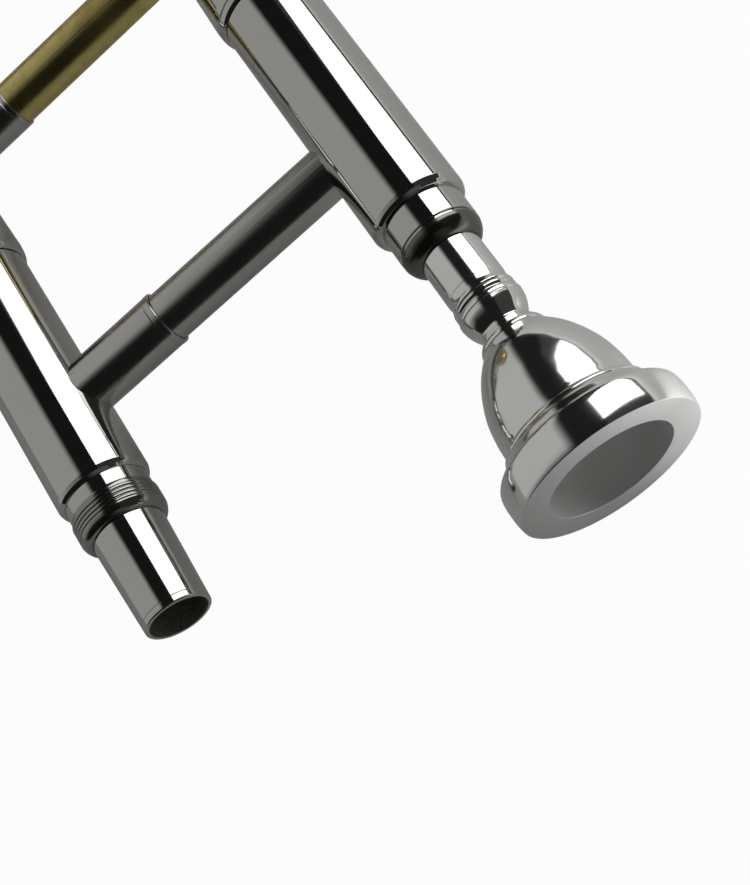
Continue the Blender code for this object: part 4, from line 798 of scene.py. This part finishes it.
# Bell receiver and lock nut: the tapered socket that takes the slide's tenon, and the ribbed nut
# that pulls it home. Both are turned and plated; the ribs are milled for the fingers.
socket = turn("bell_socket",
              [(305.0, 8.0, 0.2), (297.7, 9.4, 1.0), (269.5, 9.4, 0.1), (269.5, 10.0, 0.2),
               (264.5, 10.0, 0.2), (264.5, 9.4, 0.1), (262.0, 9.4, 0.2), (262.0, 7.74, 0.15),
               (284.0, 7.14), (284.0, 7.47), (305.0, 7.47)], neck_place)
finished(socket, nickel, "frame", "nickel_plate", "bell_receiver")
nut = turn("ribbed_lock_nut",
           [(273.8, 11.2, 0.3), (272.4, 11.5, 0.2), (256.9, 11.5, 0.3), (256.0, 10.9, 0.3),
            (256.0, 9.45, 0.15), (261.7, 9.45), (261.7, 10.3), (269.8, 10.3),
            (269.8, 9.7), (273.8, 9.7, 0.1)], neck_place, 120)
ribs = [lay_block(f"nut_rib_{k:02d}", (258.4, -0.75, 11.35), (270.8, 0.75, 12.0),
                  turned(neck_place, 360 * k / 24, "X"), 0.28) for k in range(24)]
bpy.ops.object.select_all(action="DESELECT")
for piece in ribs + [nut]:
    piece.select_set(True)
bpy.context.view_layer.objects.active = nut
bpy.ops.object.join()
finished(nut, nickel, "bell_lock_nut", "nickel_plate", "bell_lock_nut")

# Body braces: turned brass struts with a spread foot at each end, filed to sit on the bell and the
# neckpipe and soldered there, then lacquered with the bell.


def strut(name, along, low, high, place, body, node):
    """A turned cross strut between tubes of radius low and high, with its feet filed to sit on them."""
    foot = neck_spacing - high
    swelled = [(neck_spacing - high * 0.6, 0.0), (neck_spacing - high * 0.6, 6.8),
               (foot - 0.6, 6.8, 0.4), (foot - 2.0, 5.6, 1.0), (foot - 5.0, 3.0, 4.0),
               (low + 12.0, 3.0, 0.2), (low + 11.8, 3.4, 0.3), (low + 10.4, 3.4, 0.3),
               (low + 10.2, 3.0, 0.2), (low + 5.0, 3.0, 4.0), (low + 2.0, 5.6, 1.0),
               (low + 0.6, 6.8, 0.4), (low * 0.6, 6.8), (low * 0.6, 0.0)]
    piece = turn(name, swelled, across(place, along), 96, closed=False)
    cope(piece, low + 0.1, moved(place, along))
    cope(piece, high + 0.1, moved(place, along, neck_spacing))
    return finished(piece, brass, body, "lacquered_brass", node)


strut("front_strut", 322.6, flare(315.8), 7.35, bell_place, "frame", "front_body_brace")
strut("rear_strut", 386.6, flare(379.8), 7.35, bell_place, "frame", "rear_body_brace")

# Tuning slide: the bow that slides in the two legs to tune the instrument, with its cross strut.
# The bow is lacquered brass tube, tapering from the bell's side to the neckpipe's.
for side, place, radius in (("bell_side", bell_place, 9.0), ("neckpipe_side", neck_place, 7.35)):
    leg = turn("tuning_leg_drawn_" + side,
               [(513.0, radius), (421.3, radius, 0.12), (421.3, radius - 0.4, 0.08),
                (513.0, radius - 0.4)], place)
    finished(leg, chrome, "tuning_slide", "nickel_plate", "tuning_inner_leg_" + side)
    ferrule("tuning_joint_ferrule_" + side, 513.3, radius + 0.12, place, "tuning_slide",
            "tuning_ferrule_" + side)
tuning_bow = bend_tube("tuning_bow_bent", 9.0, 7.35, 26.0, neck_spacing, moved(bell_place, 513.3), 0.4)
finished(tuning_bow, brass, "tuning_slide", "lacquered_brass", "tuning_bow")
strut("tuning_strut", 529.4, 9.0, 7.35, bell_place, "tuning_slide", "tuning_brace")

# Counterweight: a heavy brass drum through which the tuning slide's strut passes. It balances the
# instrument on the player's shoulder. Turned, drilled across, polished and lacquered.
drum_place = moved(bell_place, 529.4, neck_spacing / 2)
drum = turn("counterweight_drum",
            [(13.0, 0.0), (13.0, 14.4, 0.3), (11.0, 16.5, 1.2), (9.2, 16.5, 0.1),
             (9.1, 16.35), (8.7, 16.35), (8.6, 16.5, 0.1), (-8.6, 16.5, 0.1),
             (-8.7, 16.35), (-9.1, 16.35), (-9.2, 16.5, 0.1), (-11.0, 16.5, 1.2),
             (-13.0, 14.4, 0.3), (-13.0, 0.0)], drum_place, 160, closed=False)
cut(drum, round_cutter(drum_place, 3.3, (math.pi / 2, 0, 0), 96))
finished(drum, brass, "tuning_slide", "lacquered_brass", "counterweight")

# Studio: one tall softbox on the mouthpiece side and five glowing cards, dark behind the softbox and
# behind the player's end, grey above, on the far side and in front of the bow. All but the one behind
# the softbox fade along X, Y or both. They stand round the parts like the walls of a tent, and show
# only in what the metal mirrors.
dimmest = 0.011


def card(name, corners, light, fades=()):
    """A flat glowing sheet between four corners. A fade dims it along X or Y, from full to none."""
    bpy.ops.mesh.primitive_plane_add(size=1.0)
    sheet = bpy.context.object
    sheet.name = sheet.data.name = name
    for vertex, corner in zip(sheet.data.vertices, corners):
        vertex.co = corner
    paper = bpy.data.materials.new(name + "_paper")
    paper.use_nodes = True
    tree = paper.node_tree
    tree.nodes.clear()
    glow = add_node(tree, "ShaderNodeEmission", {"Strength": light})
    place = add_node(tree, "ShaderNodeTexCoord").outputs["Object"]
    split = add_node(tree, "ShaderNodeSeparateXYZ", {"Vector": place})
    level = None
    for axis, full, none in fades:
        dim = add_node(tree, "ShaderNodeMapRange",
                       {"Value": split.outputs[axis], "From Min": full, "From Max": none,
                        "To Min": 1.0, "To Max": 0.0}, interpolation_type="SMOOTHSTEP")
        level = add_node(tree, "ShaderNodeMath", {0: dim, 1: level or light}, operation="MULTIPLY")
    if level:
        dark = add_node(tree, "ShaderNodeMath", {0: level, 1: dimmest}, operation="ADD")
        set_inputs(tree, glow, {"Strength": dark})
    add_node(tree, "ShaderNodeOutputMaterial", {"Surface": glow})
    sheet.data.materials.append(paper)
    sheet.visible_camera = False
    return sheet


bow_end, player_end, far_side, near_side, top = -2.4, 1.8, -2.4, 1.31, 1.8
grey = 0.41
left_of_middle = ("Y", -0.42, 0.07)
towards_rear = ("X", -0.1, 1.0)
card("softbox", [(-1.0, 1.3, 0.10), (0.12, 1.3, 0.10), (-1.0, 1.3, 1.78), (0.12, 1.3, 1.78)], 2.1)
card("right_dark", [(x, near_side, z) for z in (0.0, top) for x in (bow_end, player_end)], 0.04)
card("ceiling", [(x, y, top) for y in (far_side, near_side) for x in (bow_end, player_end)], grey,
     [left_of_middle, towards_rear])
card("rear_dark", [(player_end, y, z) for z in (0.0, top) for y in (far_side, near_side)], 0.09,
     [("Y", 0.8, 0.0)])
card("far_grey", [(x, far_side, z) for z in (0.0, top) for x in (bow_end, player_end)], grey,
     [towards_rear])
card("front_grey", [(bow_end, y, z) for z in (0.0, top) for y in (far_side, near_side)], grey,
     [left_of_middle])

# Floor: white paper, nearly plain white to the camera, with only a breath of the parts' shadows.
# The metal mirrors it greyer, with painted light mixed in where it mirrors the floor: a white glow that
# grows towards the softbox and next to the slide, and a painted pool of light under the rim.
bpy.ops.mesh.primitive_plane_add(size=30.0, location=(0, 0, 0))
floor = bpy.context.object
floor.name = "studio_floor"
floor_paper = bpy.data.materials.new("white_paper_floor")
floor_paper.use_nodes = True
tree = floor_paper.node_tree
paper = tree.nodes["Principled BSDF"]
set_inputs(tree, paper, {"Base Color": (0.8, 0.8, 0.8, 1.0), "Roughness": 0.9,
                         "Specular IOR Level": 0.1})
place = add_node(tree, "ShaderNodeTexCoord").outputs["Object"]
split = add_node(tree, "ShaderNodeSeparateXYZ", {"Vector": place})
# Painted light, seen only in mirrors: white glow mixed into the floor, growing towards the softbox and next
# to the slide.
painted_glow_to_softbox = add_node(tree, "ShaderNodeMapRange",
                      {"Value": split.outputs["Y"], "From Min": 0.3, "From Max": 1.3,
                       "To Min": 0.06, "To Max": 0.75})
painted_glow_beside = add_node(tree, "ShaderNodeMapRange",
                  {"Value": split.outputs["Y"], "From Min": 0.12, "From Max": 0.24,
                   "To Max": 0.22}, interpolation_type="SMOOTHSTEP")
# A painted pool of light on the floor under the mouthpiece's rim, seen only in mirrors.
under_rim = (0.46, 0.235, 0.0)
away = add_node(tree, "ShaderNodeVectorMath", {0: place, 1: under_rim}, operation="DISTANCE")
painted_pool_by_rim = add_node(tree, "ShaderNodeMapRange",
                  {"Value": away.outputs["Value"], "From Min": 0.03, "From Max": 0.075,
                   "To Min": 0.9, "To Max": 0.0}, interpolation_type="SMOOTHSTEP")
painted_glow_in_mirrors = add_node(tree, "ShaderNodeMath", {0: painted_glow_to_softbox, 1: painted_pool_by_rim}, operation="ADD")
painted_glow_in_mirrors = add_node(tree, "ShaderNodeMath", {0: painted_glow_in_mirrors, 1: painted_glow_beside}, operation="ADD")
rays = add_node(tree, "ShaderNodeLightPath")
seen = add_node(tree, "ShaderNodeMath",
                {0: rays.outputs["Is Camera Ray"], 1: rays.outputs["Is Transmission Ray"]},
                operation="MAXIMUM")
white_to_camera = 0.97  # The rest is the lit paper, which holds the shadows.
shown = add_node(tree, "ShaderNodeMath", {0: seen, 1: white_to_camera}, operation="MULTIPLY")
share = add_node(tree, "ShaderNodeMath", {0: rays.outputs["Is Glossy Ray"], 1: painted_glow_in_mirrors, 2: shown},
                 operation="MULTIPLY_ADD")
plain_white = add_node(tree, "ShaderNodeEmission", {"Color": (1, 1, 1, 1), "Strength": 1.0})
both = add_node(tree, "ShaderNodeMixShader", {"Fac": share, 1: paper, 2: plain_white})
set_inputs(tree, tree.nodes["Material Output"], {"Surface": both})
floor.data.materials.append(floor_paper)

# Room: white to the camera and in mirrors, past the floor and the cards, and a soft light all round.
world = bpy.data.worlds.new("white_room")
bpy.context.scene.world = world
world.use_nodes = True
tree = world.node_tree
sky = tree.nodes["Background"]
rays = add_node(tree, "ShaderNodeLightPath")
seen = add_node(tree, "ShaderNodeMath",
                {0: rays.outputs["Is Camera Ray"], 1: rays.outputs["Is Glossy Ray"]},
                operation="MAXIMUM")
seen = add_node(tree, "ShaderNodeMath",
                {0: seen, 1: rays.outputs["Is Transmission Ray"]},
                operation="MAXIMUM")
soft_light = 0.3
level = add_node(tree, "ShaderNodeMapRange",
                 {"Value": seen, "To Min": soft_light, "To Max": 1.0})
set_inputs(tree, sky, {"Strength": level, "Color": (1.0, 1.0, 1.0, 1.0)})

# Camera: above the player's end of the slide, looking down and forward over the mouthpiece.
right = Vector((0.507563, 0.744240, -0.434152))
down = Vector((0.745648, -0.631890, -0.211481))
ahead = Vector((-0.431728, -0.216385, -0.875665))
camera = bpy.data.objects.new("camera", bpy.data.cameras.new("camera"))
bpy.context.scene.collection.objects.link(camera)
facing = Matrix((right, -down, -ahead)).transposed()
camera.matrix_world = Matrix.Translation((0.538237, 0.217419, 0.314253)) @ facing.to_4x4()
camera.data.sensor_width = 36.0  # Sizes of sensor and lens are in millimetres.
camera.data.lens = 75.307
camera.data.clip_start = 0.01
bpy.context.scene.camera = camera
bpy.context.scene.view_settings.view_transform = "Standard"
